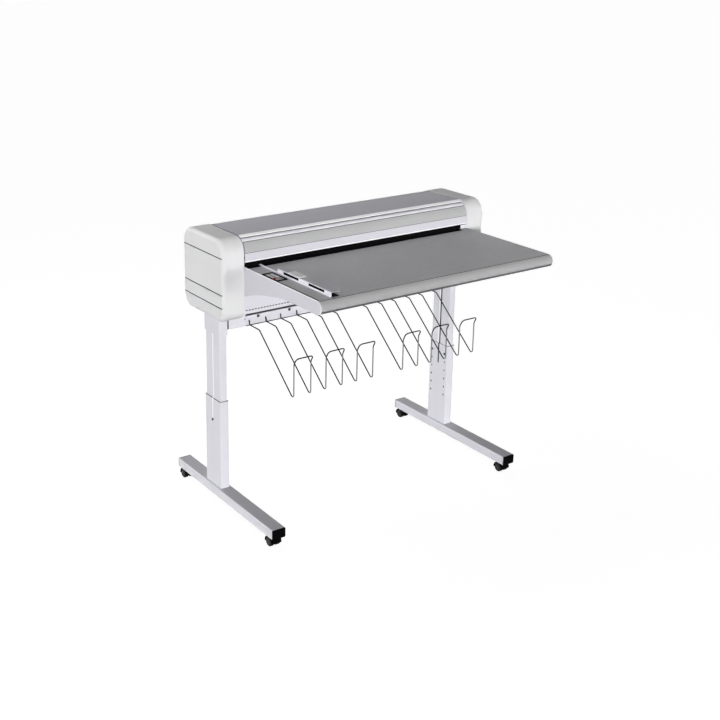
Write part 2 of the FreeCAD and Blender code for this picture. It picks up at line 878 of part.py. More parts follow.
def feed_table():
    """Table plate with stiffening ribs below and a turned-down right edge."""
    rear = feed_roller_y - feed_roller_radius + throat_plate_lap
    front = nose_centre_y + nose_strip
    left = -(plate_inner - table_side_sheet) + end_gap
    inside = plate_inner - end_gap
    outside = cap_inner - table_edge_gap
    head_line = -head_front - 2
    parts = [
        box(left, inside, head_line - 1, rear, table_under, table_top),
        box(left, outside, front, head_line, table_under, table_top),
        box(outside - right_flange, outside, nose_centre_y + nose_strip, head_line,
            table_top - 2 * nose_radius, table_top - 1),
    ]
    half = rib_width / 2
    rib_front = nose_centre_y + nose_return
    rib_bottom = table_under - rib_depth
    for x in (-rib_half_spacing, rib_half_spacing):
        rib = box(x - half, x + half, rib_front + rib_front_gap, -head_front - rib_rear_gap,
                  rib_bottom, table_under + 1)
        hollow = box(x - half + rib_sheet, x + half - rib_sheet, rib_front, -head_front,
                     rib_bottom + rib_sheet, table_under)
        parts.append(rib.cut(hollow))
    table = joined(parts)
    x0, x1, y0, y1 = keypad_opening(0)
    return table.cut(box(x0, x1, y0, y1, table_under - 1, table_top + 1))


def table_nose():
    """Half-round nose profile with a flat strip and a groove on top and a return below."""
    left = -(plate_inner - table_side_sheet) + end_gap
    right = cap_inner - table_edge_gap - right_flange - end_gap
    radius = nose_radius
    bottom = table_top - 2 * radius
    path = [
        (nose_centre_y + nose_strip, table_top, 0),
        (-nose_reach, table_top, radius),
        (-nose_reach, bottom, radius),
        (nose_centre_y + nose_return, bottom, 0),
    ]
    shell = bent_sheet("x", path, nose_wall, left, right)
    web = box(left, right, nose_centre_y, nose_centre_y + nose_strip, table_under - 2.5,
              table_top - nose_wall + 0.5)
    tongue = box(left, right, nose_centre_y, nose_centre_y + nose_strip + 16,
                 table_under - 2.5, table_under)
    end_plate = prism("x", nose_outline(), right, cap_inner - table_edge_gap)
    nose = joined([shell, web, tongue, end_plate])
    centre = (nose_centre_y, table_top - radius)
    return nose.cut(arc_band(centre, radius - nose_groove_depth, radius + 1, nose_groove_start,
                             nose_groove_end, left - 1, cap_inner))


def nose_outline():
    bottom = table_top - 2 * nose_radius
    return [
        (nose_centre_y + nose_strip, table_top, 0),
        (-nose_reach, table_top, nose_radius),
        (-nose_reach, bottom, nose_radius),
        (nose_centre_y + nose_strip, bottom, 0),
    ]


def arch_drop(y):
    """How far the side panels' lower edge has fallen at y, on one large arc."""
    reach = max(0.0, y + side_arc_front)
    return side_arc_radius - math.sqrt(side_arc_radius ** 2 - reach ** 2)


def arched_panel(front_edges, y_front, z_front, x0, x1, top):
    """Side panel with a straight top, an arched lower edge and the given front end."""
    rear = -head_front + table_side_lap
    z_rear = z_front - arch_drop(rear)
    y_middle = (rear - side_arc_front) / 2
    edges = list(front_edges)
    start = V(x0, y_front, z_front)
    arc_start = V(x0, -side_arc_front, z_front)
    edges.append(Part.LineSegment(start, arc_start).toShape())
    middle = V(x0, y_middle, z_front - arch_drop(y_middle))
    arc_end = V(x0, rear, z_rear)
    edges.append(Part.Arc(arc_start, middle, arc_end).toShape())
    edges.append(Part.LineSegment(arc_end, V(x0, rear, top)).toShape())
    edges.append(Part.LineSegment(V(x0, rear, top), edges[0].Vertexes[0].Point).toShape())
    return Part.Face(Part.Wire(edges)).extrude(V(x1 - x0, 0, 0))


def table_left_panel():
    """White panel beside the table, its front end round like the nose."""
    x0 = -plate_inner
    top = table_top + panel_proud
    radius = nose_radius + panel_proud / 2
    bottom = top - 2 * radius
    centre_y = -table_reach + radius
    centre_z = top - radius
    nose = Part.Arc(V(x0, centre_y, top), V(x0, -table_reach, centre_z), V(x0, centre_y, bottom))
    return arched_panel([nose.toShape()], centre_y, bottom, x0, x0 + table_side_sheet, top)


def table_right_bracket():
    """Bracket under the table's right edge, behind its flange."""
    x1 = plate_inner
    x0 = x1 - table_side_sheet
    front = nose_centre_y + nose_return + rib_front_gap
    bottom = table_top - 2 * nose_radius
    edge = Part.LineSegment(V(x0, front, table_under), V(x0, front, bottom))
    return arched_panel([edge.toShape()], front, bottom, x0, x1, table_under)


# Side guide and keypad

def side_guide():
    """Paper guide: bar, upright with a flange over the paper's edge, two framed windows."""
    wall = guide_x + guide_sheet
    high = table_top + guide_height
    path = [
        (guide_x + guide_flange, high, 0),
        (guide_x, high, 3.0),
        (guide_x, table_top, 0),
    ]
    parts = [
        bent_sheet("y", path, guide_sheet, -guide_front, -guide_wall_start),
        box(wall - guide_low_width, wall, -guide_front, -guide_low_start, table_top,
            table_top + guide_low_height),
    ]
    windows = []
    rim = guide_window_rim
    room = guide_front - guide_wall_start - guide_window_rear_gap - guide_window_front_gap
    length = (room - guide_window_spacing * (guide_window_count - 1)) / guide_window_count
    for k in range(guide_window_count):
        y1 = -guide_wall_start - guide_window_rear_gap - k * (length + guide_window_spacing)
        y0 = y1 - length
        z0 = table_top + guide_low_height + guide_window_sill
        z1 = z0 + guide_window_height
        parts.append(box(guide_x - guide_window_proud, wall, y0 - rim, y1 + rim,
                         table_top + guide_low_height - 1, high + 1))
        windows.append(box(guide_x - rim, wall + 1, y0, y1, z0, z1))
    guide = joined(parts)
    for window in windows:
        guide = guide.cut(window)
    return guide


def guide_clip():
    high = table_top + guide_height
    x0 = guide_x + guide_flange - clip_lap
    y1 = -guide_wall_start - clip_rear_gap
    corners = rectangle(x0, x0 + clip_width, y1 - clip_length, y1, 3.0)
    return prism("z", corners, high, high + clip_height)


def keypad_bezel():
    outer = rectangle(keypad_x - keypad_width / 2, keypad_x + keypad_width / 2,
                      keypad_y - keypad_length / 2, keypad_y + keypad_length / 2, 3.0)
    x0, x1, y0, y1 = keypad_opening(keypad_lap - keypad_frame)
    frame = prism("z", outer, table_top, table_top + keypad_frame_height)
    return frame.cut(box(x0, x1, y0, y1, table_top - 1, table_top + keypad_frame_height + 1))


def key_places():
    x = keypad_x + keypad_width / 2 - keypad_frame - key_side_gap - key_length / 2
    first = keypad_y + (key_count - 1) * key_pitch / 2 + key_row_shift
    return [(x, first - k * key_pitch) for k in range(key_count)]


def keypad_plate():
    """Control panel tray set into the table, with one well under each key."""
    gap = end_gap
    x0, x1, y0, y1 = keypad_opening(-gap)
    tray = box(x0, x1, y0, y1, table_top - keypad_depth, table_top)
    x0, x1, y0, y1 = keypad_opening(keypad_lap - keypad_frame - gap)
    face = box(x0, x1, y0, y1, table_top - 1, table_top + keypad_frame_height / 2)
    plate = joined([tray, face])
    half_x = key_length / 2 + key_clearance
    half_y = key_width / 2 + key_clearance
    for x, y in key_places():
        plate = plate.cut(box(x - half_x, x + half_x, y - half_y, y + half_y,
                              table_top - keypad_depth + 2, table_top + keypad_frame_height))
    return plate


def key(x, y):
    """One push key, standing in its well with room below for its travel."""
    bottom = table_top - keypad_depth + 2 + key_travel + 0.3
    top = table_top + keypad_frame_height / 2 + key_rise
    corners = rectangle(x - key_length / 2, x + key_length / 2, y - key_width / 2,
                        y + key_width / 2)
    cap = prism("z", corners, bottom, top)
    edges = [e for e in cap.Edges if abs(e.BoundBox.ZMin - top) < 1e-6]
    return cap.makeChamfer(key_bevel, edges)


# Rollers and drive

def roller(y, z, radius, left_end):
    """Rubber-covered roller on a stepped steel shaft."""
    right_end = cap_inner + 5
    covered = roller_half_length
    steps = [
        (-left_end, 0), (-left_end, shaft_radius), (-covered - 8, shaft_radius),
        (-covered - 8, shaft_radius + 3), (-covered, shaft_radius + 3), (-covered, radius),
        (covered, radius), (covered, shaft_radius + 3), (covered + 8, shaft_radius + 3),
        (covered + 8, shaft_radius), (right_end, shaft_radius), (right_end, 0),
    ]
    return turned_x(y, z, steps)


def drive_wheel(teeth, y, z, phase):
    x1 = -cap_inner - gear_start
    return gear(teeth, x1 - gear_face, x1, y, z, phase, shaft_radius)


def pulley(y, z, radius, bore):
    """Flanged belt pulley."""
    x1 = -cap_inner - pulley_start
    x0 = x1 - pulley_face
    steps = [(x0 - 1.5, bore), (x0 - 1.5, radius + 2.5), (x0, radius + 2.5), (x0, radius),
             (x1, radius), (x1, bore)]
    return turned_x(y, z, steps)


gear_shaft_end = cap_inner + gear_start + gear_face + 0.5
pulley_shaft_end = cap_inner + pulley_start + pulley_face + 3


def lower_feed_roller():
    return Part.makeCompound([
        roller(feed_roller_y, lower_feed_z, feed_roller_radius, pulley_shaft_end),
        drive_wheel(feed_teeth, feed_roller_y, lower_feed_z, math.pi / 2),
        pulley(feed_roller_y, lower_feed_z, feed_pulley_radius, shaft_radius),
    ])


def upper_feed_roller():
    phase = math.pi / 2 + math.pi / feed_teeth
    return Part.makeCompound([
        roller(feed_roller_y, upper_feed_z, feed_roller_radius, gear_shaft_end),
        drive_wheel(feed_teeth, feed_roller_y, upper_feed_z, phase),
    ])


def rear_fold_roller():
    return Part.makeCompound([
        roller(rear_fold_y, fold_roller_z, fold_roller_radius, pulley_shaft_end),
        drive_wheel(fold_teeth, rear_fold_y, fold_roller_z, 0),
        pulley(rear_fold_y, fold_roller_z, fold_pulley_radius, shaft_radius),
    ])


def front_fold_roller():
    return Part.makeCompound([
        roller(front_fold_y, fold_roller_z, fold_roller_radius, gear_shaft_end),
        drive_wheel(fold_teeth, front_fold_y, fold_roller_z, math.pi / fold_teeth),
    ])


def fold_deflector():
    """Blade on a shaft that lays the plan to and fro above the fold rollers."""
    y, z = fold_nip_y, deflector_z
    end = cap_inner + 4
    shaft = rod_x(-end, end, y, z, motor_shaft_radius)
    half = deflector_sheet / 2
    blade = box(-roller_half_length, roller_half_length, y - half, y + half,
                z - deflector_length, z)
    return joined([shaft, blade])


def drive_motor():
    """Gear motor on the left side plate, bored for its output shaft."""
    face = -plate_inner
    body = rod_x(face, face + motor_length, motor_y, motor_z, motor_radius)
    end = rod_x(face + motor_length, face + motor_length + 12, motor_y, motor_z,
                motor_radius - 8)
    boss = rod_x(-cap_inner, face + 1, motor_y, motor_z, motor_boss_radius)
    motor = joined([body, end, boss])
    bore = motor_shaft_radius + running_clearance
    return motor.cut(rod_x(-cap_inner - 1, face + 25, motor_y, motor_z, bore))


def motor_pulley():
    shaft = rod_x(-pulley_shaft_end, -plate_inner + 24, motor_y, motor_z, motor_shaft_radius)
    return joined([shaft, pulley(motor_y, motor_z, motor_pulley_radius, motor_shaft_radius - 1)])


def drive_belt():
    """Belt round the motor's, feed roller's and fold roller's pulleys."""
    pulleys = [
        (feed_roller_y, lower_feed_z, feed_pulley_radius),
        (rear_fold_y, fold_roller_z, fold_pulley_radius),
        (motor_y, motor_z, motor_pulley_radius),
    ]
    x1 = -cap_inner - pulley_start - (pulley_face - belt_width) / 2
    outer = Part.Face(belt_wire(pulleys, belt_gap + belt_thickness, x1))
    inner = Part.Face(belt_wire(pulleys, belt_gap, x1))
    return outer.cut(inner).extrude(V(-belt_width, 0, 0))


# Wire racks

def wire_rack(centre):
    """One rack bent from a single wire: hooked ends, long slopes and a flared front bar."""
    leg_y = rail_front - end_gap - wire_radius
    hook_y = beam_front + beam_wall + rack_hook_reach
    run_z = beam_bottom + rack_run_rise
    run_y = -column_depth / 2 - rack_run_reach
    bottom_y = -column_depth / 2 - rack_bottom_reach
    top_y = -column_depth / 2 - rack_top_reach
    side = [
        (hook_y, rack_hole_z), (leg_y, rack_hole_z), (leg_y, run_z), (run_y, run_z),
        (bottom_y, beam_bottom - rack_bottom_drop), (bottom_y, beam_bottom - rack_flare_drop),
        (top_y, beam_bottom - rack_top_drop),
    ]
    left = [V(centre - rack_width / 2, y, z) for y, z in side]
    right = [V(centre + rack_width / 2, y, z) for y, z in side]
    path = rounded_path(left + right[::-1], rack_bends + rack_bends[::-1], wire_turn_step)
    return faceted_wire(path, wire_radius, wire_sides)


# Stand

def hollow_column(x_size, y_size, wall, z0, z1):
    centre = column_half_spacing
    outer = rectangle(centre - x_size / 2, centre + x_size / 2, -y_size / 2, y_size / 2,
                      column_corner)
    inner = rectangle(centre - x_size / 2 + wall, centre + x_size / 2 - wall,
                      -y_size / 2 + wall, y_size / 2 - wall)
    return prism("z", outer, z0, z1).cut(prism("z", inner, z0 - 1, z1 + 1))


def upper_column():
    """Inner column on the right, grooved on both broad sides, with its welded head block."""
    reduction = 2 * (column_wall + column_slide_gap)
    x_size = column_width - reduction
    y_size = column_depth - reduction
    column = hollow_column(x_size, y_size, upper_column_wall, upper_column_bottom,
                           upper_column_top)
    half = guide_slot_width / 2
    for side in (-1, 1):
        face = column_half_spacing + side * x_size / 2
        a, b = sorted((face - side * groove_depth, face + side))
        column = column.cut(box(a, b, -half, half, upper_column_bottom - 1, collar_bottom + 10))
    block_top = upper_column_top - column_block_drop
    block = box(cap_inner, column_half_spacing - x_size / 2 + 1, -column_block_width / 2,
                column_block_width / 2, block_top - column_block_height, block_top)
    return joined([column, block])


def column_collars():
    """Sleeves round the inner columns' tops that carry the beam's ends."""
    x_size = column_width - 2 * (column_wall + column_slide_gap) + 2 * collar_gap
    sleeve = hollow_column(column_width, column_depth, (column_width - x_size) / 2,
                           collar_bottom, head_bottom - 0.3)
    return Part.makeCompound([sleeve, mirrored(sleeve)])


def leg():
    """Outer column welded on its foot tube, on the right."""
    centre = column_half_spacing
    half = foot_width / 2
    y0, y1 = -foot_front + foot_cap, foot_rear - foot_cap
    tube = prism("y", rectangle(centre - half, centre + half, foot_height, foot_top,
                                column_corner), y0, y1)
    wall = foot_wall
    hollow = box(centre - half + wall, centre + half - wall, y0 - 1, y1 + 1,
                 foot_height + wall, foot_top - wall)
    column = hollow_column(column_width, column_depth, column_wall, foot_top - 1,
                           lower_column_top)
    parts = [tube.cut(hollow), column]
    for y in castor_places():
        parts.append(rod_z(centre, y, foot_height, foot_height + castor_stem_length,
                           castor_boss_radius))
    body = joined(parts)
    for y in castor_places():
        body = body.cut(rod_z(centre, y, foot_height - 1, foot_height + castor_stem_length + 1,
                              castor_stem_radius + running_clearance))
    return body.cut(column_slots()).cut(column_holes())


def column_slots():
    """Slots open at the top of the outer column, on both broad sides."""
    centre = column_half_spacing
    half = guide_slot_width / 2
    reach = column_width
    bottom = guide_slot_bottom + half
    slot = box(centre - reach, centre + reach, -half, half, bottom, lower_column_top + 1)
    return slot.fuse(rod_x(centre - reach, centre + reach, 0, bottom, half))


def column_holes():
    """Two rows of height-setting holes through the wall that faces the machine."""
    x0 = column_half_spacing - column_width / 2 - 1
    x1 = x0 + column_wall + 2
    cuts = []
    for row in range(hole_rows):
        for y in (-hole_spacing / 2, hole_spacing / 2):
            cuts.append(rod_x(x0, x1, y, hole_top - row * hole_pitch, hole_radius))
    return Part.makeCompound(cuts)


def clamp_screws():
    """Set screws: two in the top pair of holes and one at the foot of the outer slot."""
    centre = column_half_spacing
    inner = centre - column_width / 2
    outer = centre + column_width / 2
    height = screw_head_height
    head = screw_head_radius
    shank = hole_radius - screw_fit / 2
    screws = []
    for y in (-hole_spacing / 2, hole_spacing / 2):
        screws.append(turned_x(y, hole_top, [
            (inner - height, 0), (inner - height, head), (inner, head), (inner, shank),
            (inner + column_wall, shank), (inner + column_wall, 0)]))
    slot_end = guide_slot_bottom + guide_slot_width / 2
    shank = guide_slot_width / 2 - screw_fit
    head = shank + slot_screw_rim
    screws.append(turned_x(0, slot_end, [
        (outer + height, 0), (outer + height, head), (outer, head), (outer, shank),
        (outer - column_wall, shank), (outer - column_wall, 0)]))
    return Part.makeCompound(screws)


def foot_caps():
    """Plastic end caps of the foot tube, each with a plug inside the tube."""
    centre = column_half_spacing
    half = foot_width / 2
    gap = foot_wall + foot_cap_gap
    face = rectangle(centre - half, centre + half, foot_height, foot_top, column_corner)
    caps = []
    for y, inward in ((-foot_front, 1), (foot_rear, -1)):
        a, b = sorted((y, y + inward * foot_cap))
        plate = prism("y", face, a, b)
        a, b = sorted((y + inward * (foot_cap - 1), y + inward * (foot_cap + foot_cap_insert)))
        plug = box(centre - half + gap, centre + half - gap, a, b, foot_height + gap,
                   foot_top - gap)
        caps.append(joined([plate, plug]))
    return Part.makeCompound(caps)


# Castors

def castor_places():
    return [-foot_front + castor_inset, foot_rear - castor_inset]


def castor_frame(x, y):
    """Hooded twin-wheel castor body with its swivel stem."""
    axle_y = y + castor_trail
    axle_z = castor_wheel_radius
    inner = castor_wheel_radius + castor_hood_gap
    outer = inner + castor_hood_wall
    half = castor_web / 2 + castor_side_gap + castor_tyre_width + castor_side_gap
    hood = rod_x(x - half, x + half, axle_y, axle_z, outer)
    hood = hood.cut(rod_x(x - half - 1, x + half + 1, axle_y, axle_z, inner))
    below = box(x - half - 1, x + half + 1, axle_y - outer - 1, axle_y + outer + 1,
                axle_z - outer - 1, axle_z - 4)
    hood = hood.cut(below)
    web = rod_x(x - castor_web / 2, x + castor_web / 2, axle_y, axle_z, inner + 1)
    web = web.cut(box(x - castor_web, x + castor_web, axle_y - outer, axle_y + outer,
                      axle_z - outer, axle_z - 10))
    disc = rod_z(x, y, foot_height - 2.3, foot_height - 0.3, castor_disc_radius)
    neck = rod_z(x, y, axle_z + inner - 3, foot_height - 1, castor_boss_radius)
    neck = neck.cut(rod_x(x - half, x - castor_web / 2, axle_y, axle_z, inner))
    neck = neck.cut(rod_x(x + castor_web / 2, x + half, axle_y, axle_z, inner))
    stem = rod_z(x, y, foot_height - 1, foot_height + castor_stem_length, castor_stem_radius)
    body = joined([hood, web, disc, neck, stem])
    return body.cut(rod_x(x - castor_web, x + castor_web, axle_y, axle_z,
                          castor_axle_radius + running_clearance))


def castor_wheels(x, y):
    """Pair of tyres on one axle through the castor's web."""
    inside = castor_web / 2 + castor_side_gap
    outside = inside + castor_tyre_width
    radius = castor_wheel_radius
    half = [(inside, castor_axle_radius), (inside, radius - 2), (inside + 2, radius),
            (outside - 3, radius), (outside, radius - 3), (outside, 0)]
    steps = [(x - dx, r) for dx, r in half[::-1]] + [(x + dx, r) for dx, r in half]
    return turned_x(y + castor_trail, radius, steps)


# All nodes

def build():
    nodes = {}
    cap = end_cap()
    nodes["left_end_cap"] = mirrored(cap)
    nodes["right_end_cap"] = cap
    nodes["left_side_plate"] = side_plate_left()
    nodes["right_side_plate"] = side_plate_right()
    nodes["roller_bearings"] = bearings()
    nodes["rear_panel"] = rear_panel()
    nodes["power_inlet"] = power_inlet()
    nodes["exit_panel"] = exit_panel()
    nodes["exit_chute"] = exit_chute()
    nodes["cross_beam"] = cross_beam()
    nodes["rack_rail"] = rack_rail()
    nodes["top_cover"] = top_cover()
    nodes["top_cover_profile"] = top_cover_profile()
    nodes["front_cover_profile"] = front_cover_profile()
    nodes["front_cover"] = front_cover()
    nodes["front_strip"] = front_strip()
    nodes["cover_hinge_pins"] = hinge_pins()
    nodes["feed_table"] = feed_table()
    nodes["table_nose"] = table_nose()
    nodes["table_left_panel"] = table_left_panel()
    nodes["table_right_bracket"] = table_right_bracket()
    nodes["side_guide"] = side_guide()
    nodes["guide_clip"] = guide_clip()
    nodes["keypad_bezel"] = keypad_bezel()
    nodes["keypad_plate"] = keypad_plate()
    for number, (x, y) in enumerate(key_places(), 1):
        nodes["key_%d" % number] = key(x, y)
    nodes["lower_feed_roller"] = lower_feed_roller()
    nodes["upper_feed_roller"] = upper_feed_roller()
    nodes["front_fold_roller"] = front_fold_roller()
    nodes["rear_fold_roller"] = rear_fold_roller()
    nodes["fold_deflector"] = fold_deflector()
    nodes["drive_motor"] = drive_motor()
    nodes["motor_pulley"] = motor_pulley()
    nodes["drive_belt"] = drive_belt()
    for number, centre in enumerate(rack_wire_places(), 1):
        nodes["wire_rack_%d" % number] = wire_rack(centre)
    nodes["column_collars"] = column_collars()
    column, stand, screws, caps = upper_column(), leg(), clamp_screws(), foot_caps()
    for side, turn in (("right", lambda shape: shape.copy()), ("left", mirrored)):
        nodes[side + "_upper_column"] = turn(column)
        nodes[side + "_leg"] = turn(stand)
        nodes[side + "_clamp_screws"] = turn(screws)
        nodes[side + "_foot_caps"] = turn(caps)
    for side, x in (("left", -column_half_spacing), ("right", column_half_spacing)):
        for end, y in zip(("front", "rear"), castor_places()):
            nodes["castor_frame_%s_%s" % (end, side)] = castor_frame(x, y)
            nodes["castor_wheels_%s_%s" % (end, side)] = castor_wheels(x, y)
    return nodes


os.makedirs("parts", exist_ok=True)
for name, shape in build().items():
    shape.translate(V(0, centre_shift, 0))
    shape.exportStep("parts/%s.step" % name)
    print(name, len(shape.Solids), shape.isValid(), round(shape.Volume / 1000, 1))
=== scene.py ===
import json
import math
import bmesh
import bpy
from mathutils import Matrix, Vector


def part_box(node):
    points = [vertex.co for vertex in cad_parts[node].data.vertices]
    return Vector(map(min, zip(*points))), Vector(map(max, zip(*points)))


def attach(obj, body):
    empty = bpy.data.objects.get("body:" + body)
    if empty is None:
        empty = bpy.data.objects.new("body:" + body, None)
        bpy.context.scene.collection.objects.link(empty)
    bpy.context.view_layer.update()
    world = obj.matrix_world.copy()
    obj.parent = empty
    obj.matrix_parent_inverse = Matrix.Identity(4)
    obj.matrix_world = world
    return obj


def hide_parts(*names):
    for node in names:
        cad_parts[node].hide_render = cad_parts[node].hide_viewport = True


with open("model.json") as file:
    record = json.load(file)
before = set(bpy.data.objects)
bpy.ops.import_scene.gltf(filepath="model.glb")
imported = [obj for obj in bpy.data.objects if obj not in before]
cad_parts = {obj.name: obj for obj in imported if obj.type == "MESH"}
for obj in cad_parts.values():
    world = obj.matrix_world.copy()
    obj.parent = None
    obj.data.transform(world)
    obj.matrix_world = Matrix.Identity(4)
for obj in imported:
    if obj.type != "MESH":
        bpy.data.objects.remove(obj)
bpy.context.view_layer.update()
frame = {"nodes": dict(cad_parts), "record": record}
nodes = frame["nodes"]

# Camera at the photograph's angle
CAMERA_PLACE = Vector((-2.7725, -3.6307, 2.3269))
CAMERA_YAW = math.radians(32.5)
CAMERA_PITCH = math.radians(16.7)
CAMERA_LENS = 58.395
CAMERA_SHIFT = (0.1240, -0.1260)

# Light: the world's strength overhead and in the band along the horizon, how high that band
# reaches, and the share of full brightness that each lamp gives a face turned to it
WORLD_LEVEL = 0.03
HORIZON_LEVEL = 13.4
HORIZON_REACH = 0.15
FRONT_LEVEL = 0.42
FRONT_BEARING = math.radians(28)
FRONT_HEIGHT = math.radians(3.5)
FRONT_SPREAD = math.radians(7)
TOP_LEVEL = 0.36
TOP_PLACE = (-0.9, 1.05, 2.9)
TOP_AIM = (-0.2, -0.1, 1.1)
TOP_SIZE = 1.5

# Floor: its glow and paint where the background shows, and its paint for other light
FLOOR_HALF = 30.0
FLOOR_GLOW = 0.94
FLOOR_PAINT = 0.30
FLOOR_BOUNCE = 0.30

# Bevel widths in metres
FINE_EDGE = 0.0004
SHEET_EDGE = 0.0006
TUBE_EDGE = 0.0012
MOULDED_EDGE = 0.0010

# Specular level of a finish that sets none of its own
PLAIN_SHINE = 0.25

# Places of the machine's parts in millimetres
HEAD_TOP = 1166.5
HEAD_FRONT = 29.5
HEAD_REAR = 343.5
CAP_SIDE = 656.0
GROOVE_DROPS = (71.0, 217.0, 270.0)
GROOVE_WIDTH = 4.6
GROOVE_DEPTH = 2.5
GROOVE_FRONT = 39.5
GROOVE_REAR = 335.5
COVER_HALF = 555.5
COVER_RADIUS = 61.0
COVER_CENTRE = (HEAD_FRONT + COVER_RADIUS, HEAD_TOP - COVER_RADIUS)
BAND_END_ANGLE = 47.5
THROAT_TOP = 1067.0
TABLE_TOP = 1050.0
TABLE_LEFT = -554.5
TABLE_RIGHT = 561.3
NOSE_RADIUS = 25.0
NOSE_CENTRE = (-455.5, TABLE_TOP - NOSE_RADIUS)
PANEL_SIDE = -559.0
GUIDE_WALL = (-493.0, -489.0)
GUIDE_EDGE = -453.0
GUIDE_CEILING = TABLE_TOP + 15.5
GUIDE_REACH = (-444.2, -97.8)
GUIDE_WINDOWS = ((-240.2, -141.3), (-405.7, -306.8))
KEYPAD_TOP = TABLE_TOP + 1.5
KEY_SIDES = (-528.0, -514.0)
KEY_PLACES = (-105.5, -117.5, -129.5, -141.5)
LAMP_PLACES = ((-543.9, -152.4), (-537.0, -156.8))
WALL_FRONT = 132.5
RAIL_FRONT = 129.5
RAIL_END = 494.0
RAIL_BOTTOM = 771.0
BEAM_END = 576.0
BEAM_FRONT = 134.5
BEAM_TOP = 811.0
COLUMN_X = 596.0
COLUMN_Y = 192.5
INNER_STRIP_RISE = (301.0, 758.0)
LEG_TOP = 467.0
LEG_HALF_WIDTH = 20.0
LEG_HALF_DEPTH = 60.0
SLOT_BOTTOM = 374.2
HOLE_DROP = 39.0
HOLE_PITCH = 40.0
HOLE_REACH = 43.5
CASTOR_PLACES = {"front": -231.5, "rear": 458.5}
CASTOR_RADIUS = 20.0

# How deep a trim sits in what is under it, and how high the black felt that paints shade stands, in
# millimetres
SUNK = 0.2
PAINTED_SHADE_FELT = 0.3

# Wire racks in metres: the side's outline in the YZ plane, its bends, and from where to where
# the hoops turn brighter as a painted highlight, forwards and downwards
WIRE_RADIUS = 0.0025
RACK_HALF = 0.039
RACK_SIDE = [
    (0.1410, 0.7930), (0.1267, 0.7930), (0.1267, 0.7755), (0.0525, 0.7755),
    (-0.1945, 0.5650), (-0.1945, 0.7090), (-0.2095, 0.7370),
]
RACK_BENDS = [0.006, 0.006, 0.016, 0.010, 0.014, 0.014]
HOOP_PAINTED_HIGHLIGHT_FORWARDS = (-0.180, -0.193)
HOOP_PAINTED_HIGHLIGHT_DOWNWARDS = (0.716, 0.700)


# Materials

def linear(level):
    """Linear value of a screen colour channel, 0 to 255."""
    share = level / 255
    return share / 12.92 if share <= 0.04045 else ((share + 0.055) / 1.055) ** 2.4


def paint(red, green, blue):
    """Colour of a paint that shows as the given screen colour in full light."""
    return (linear(red), linear(green), linear(blue), 1.0)


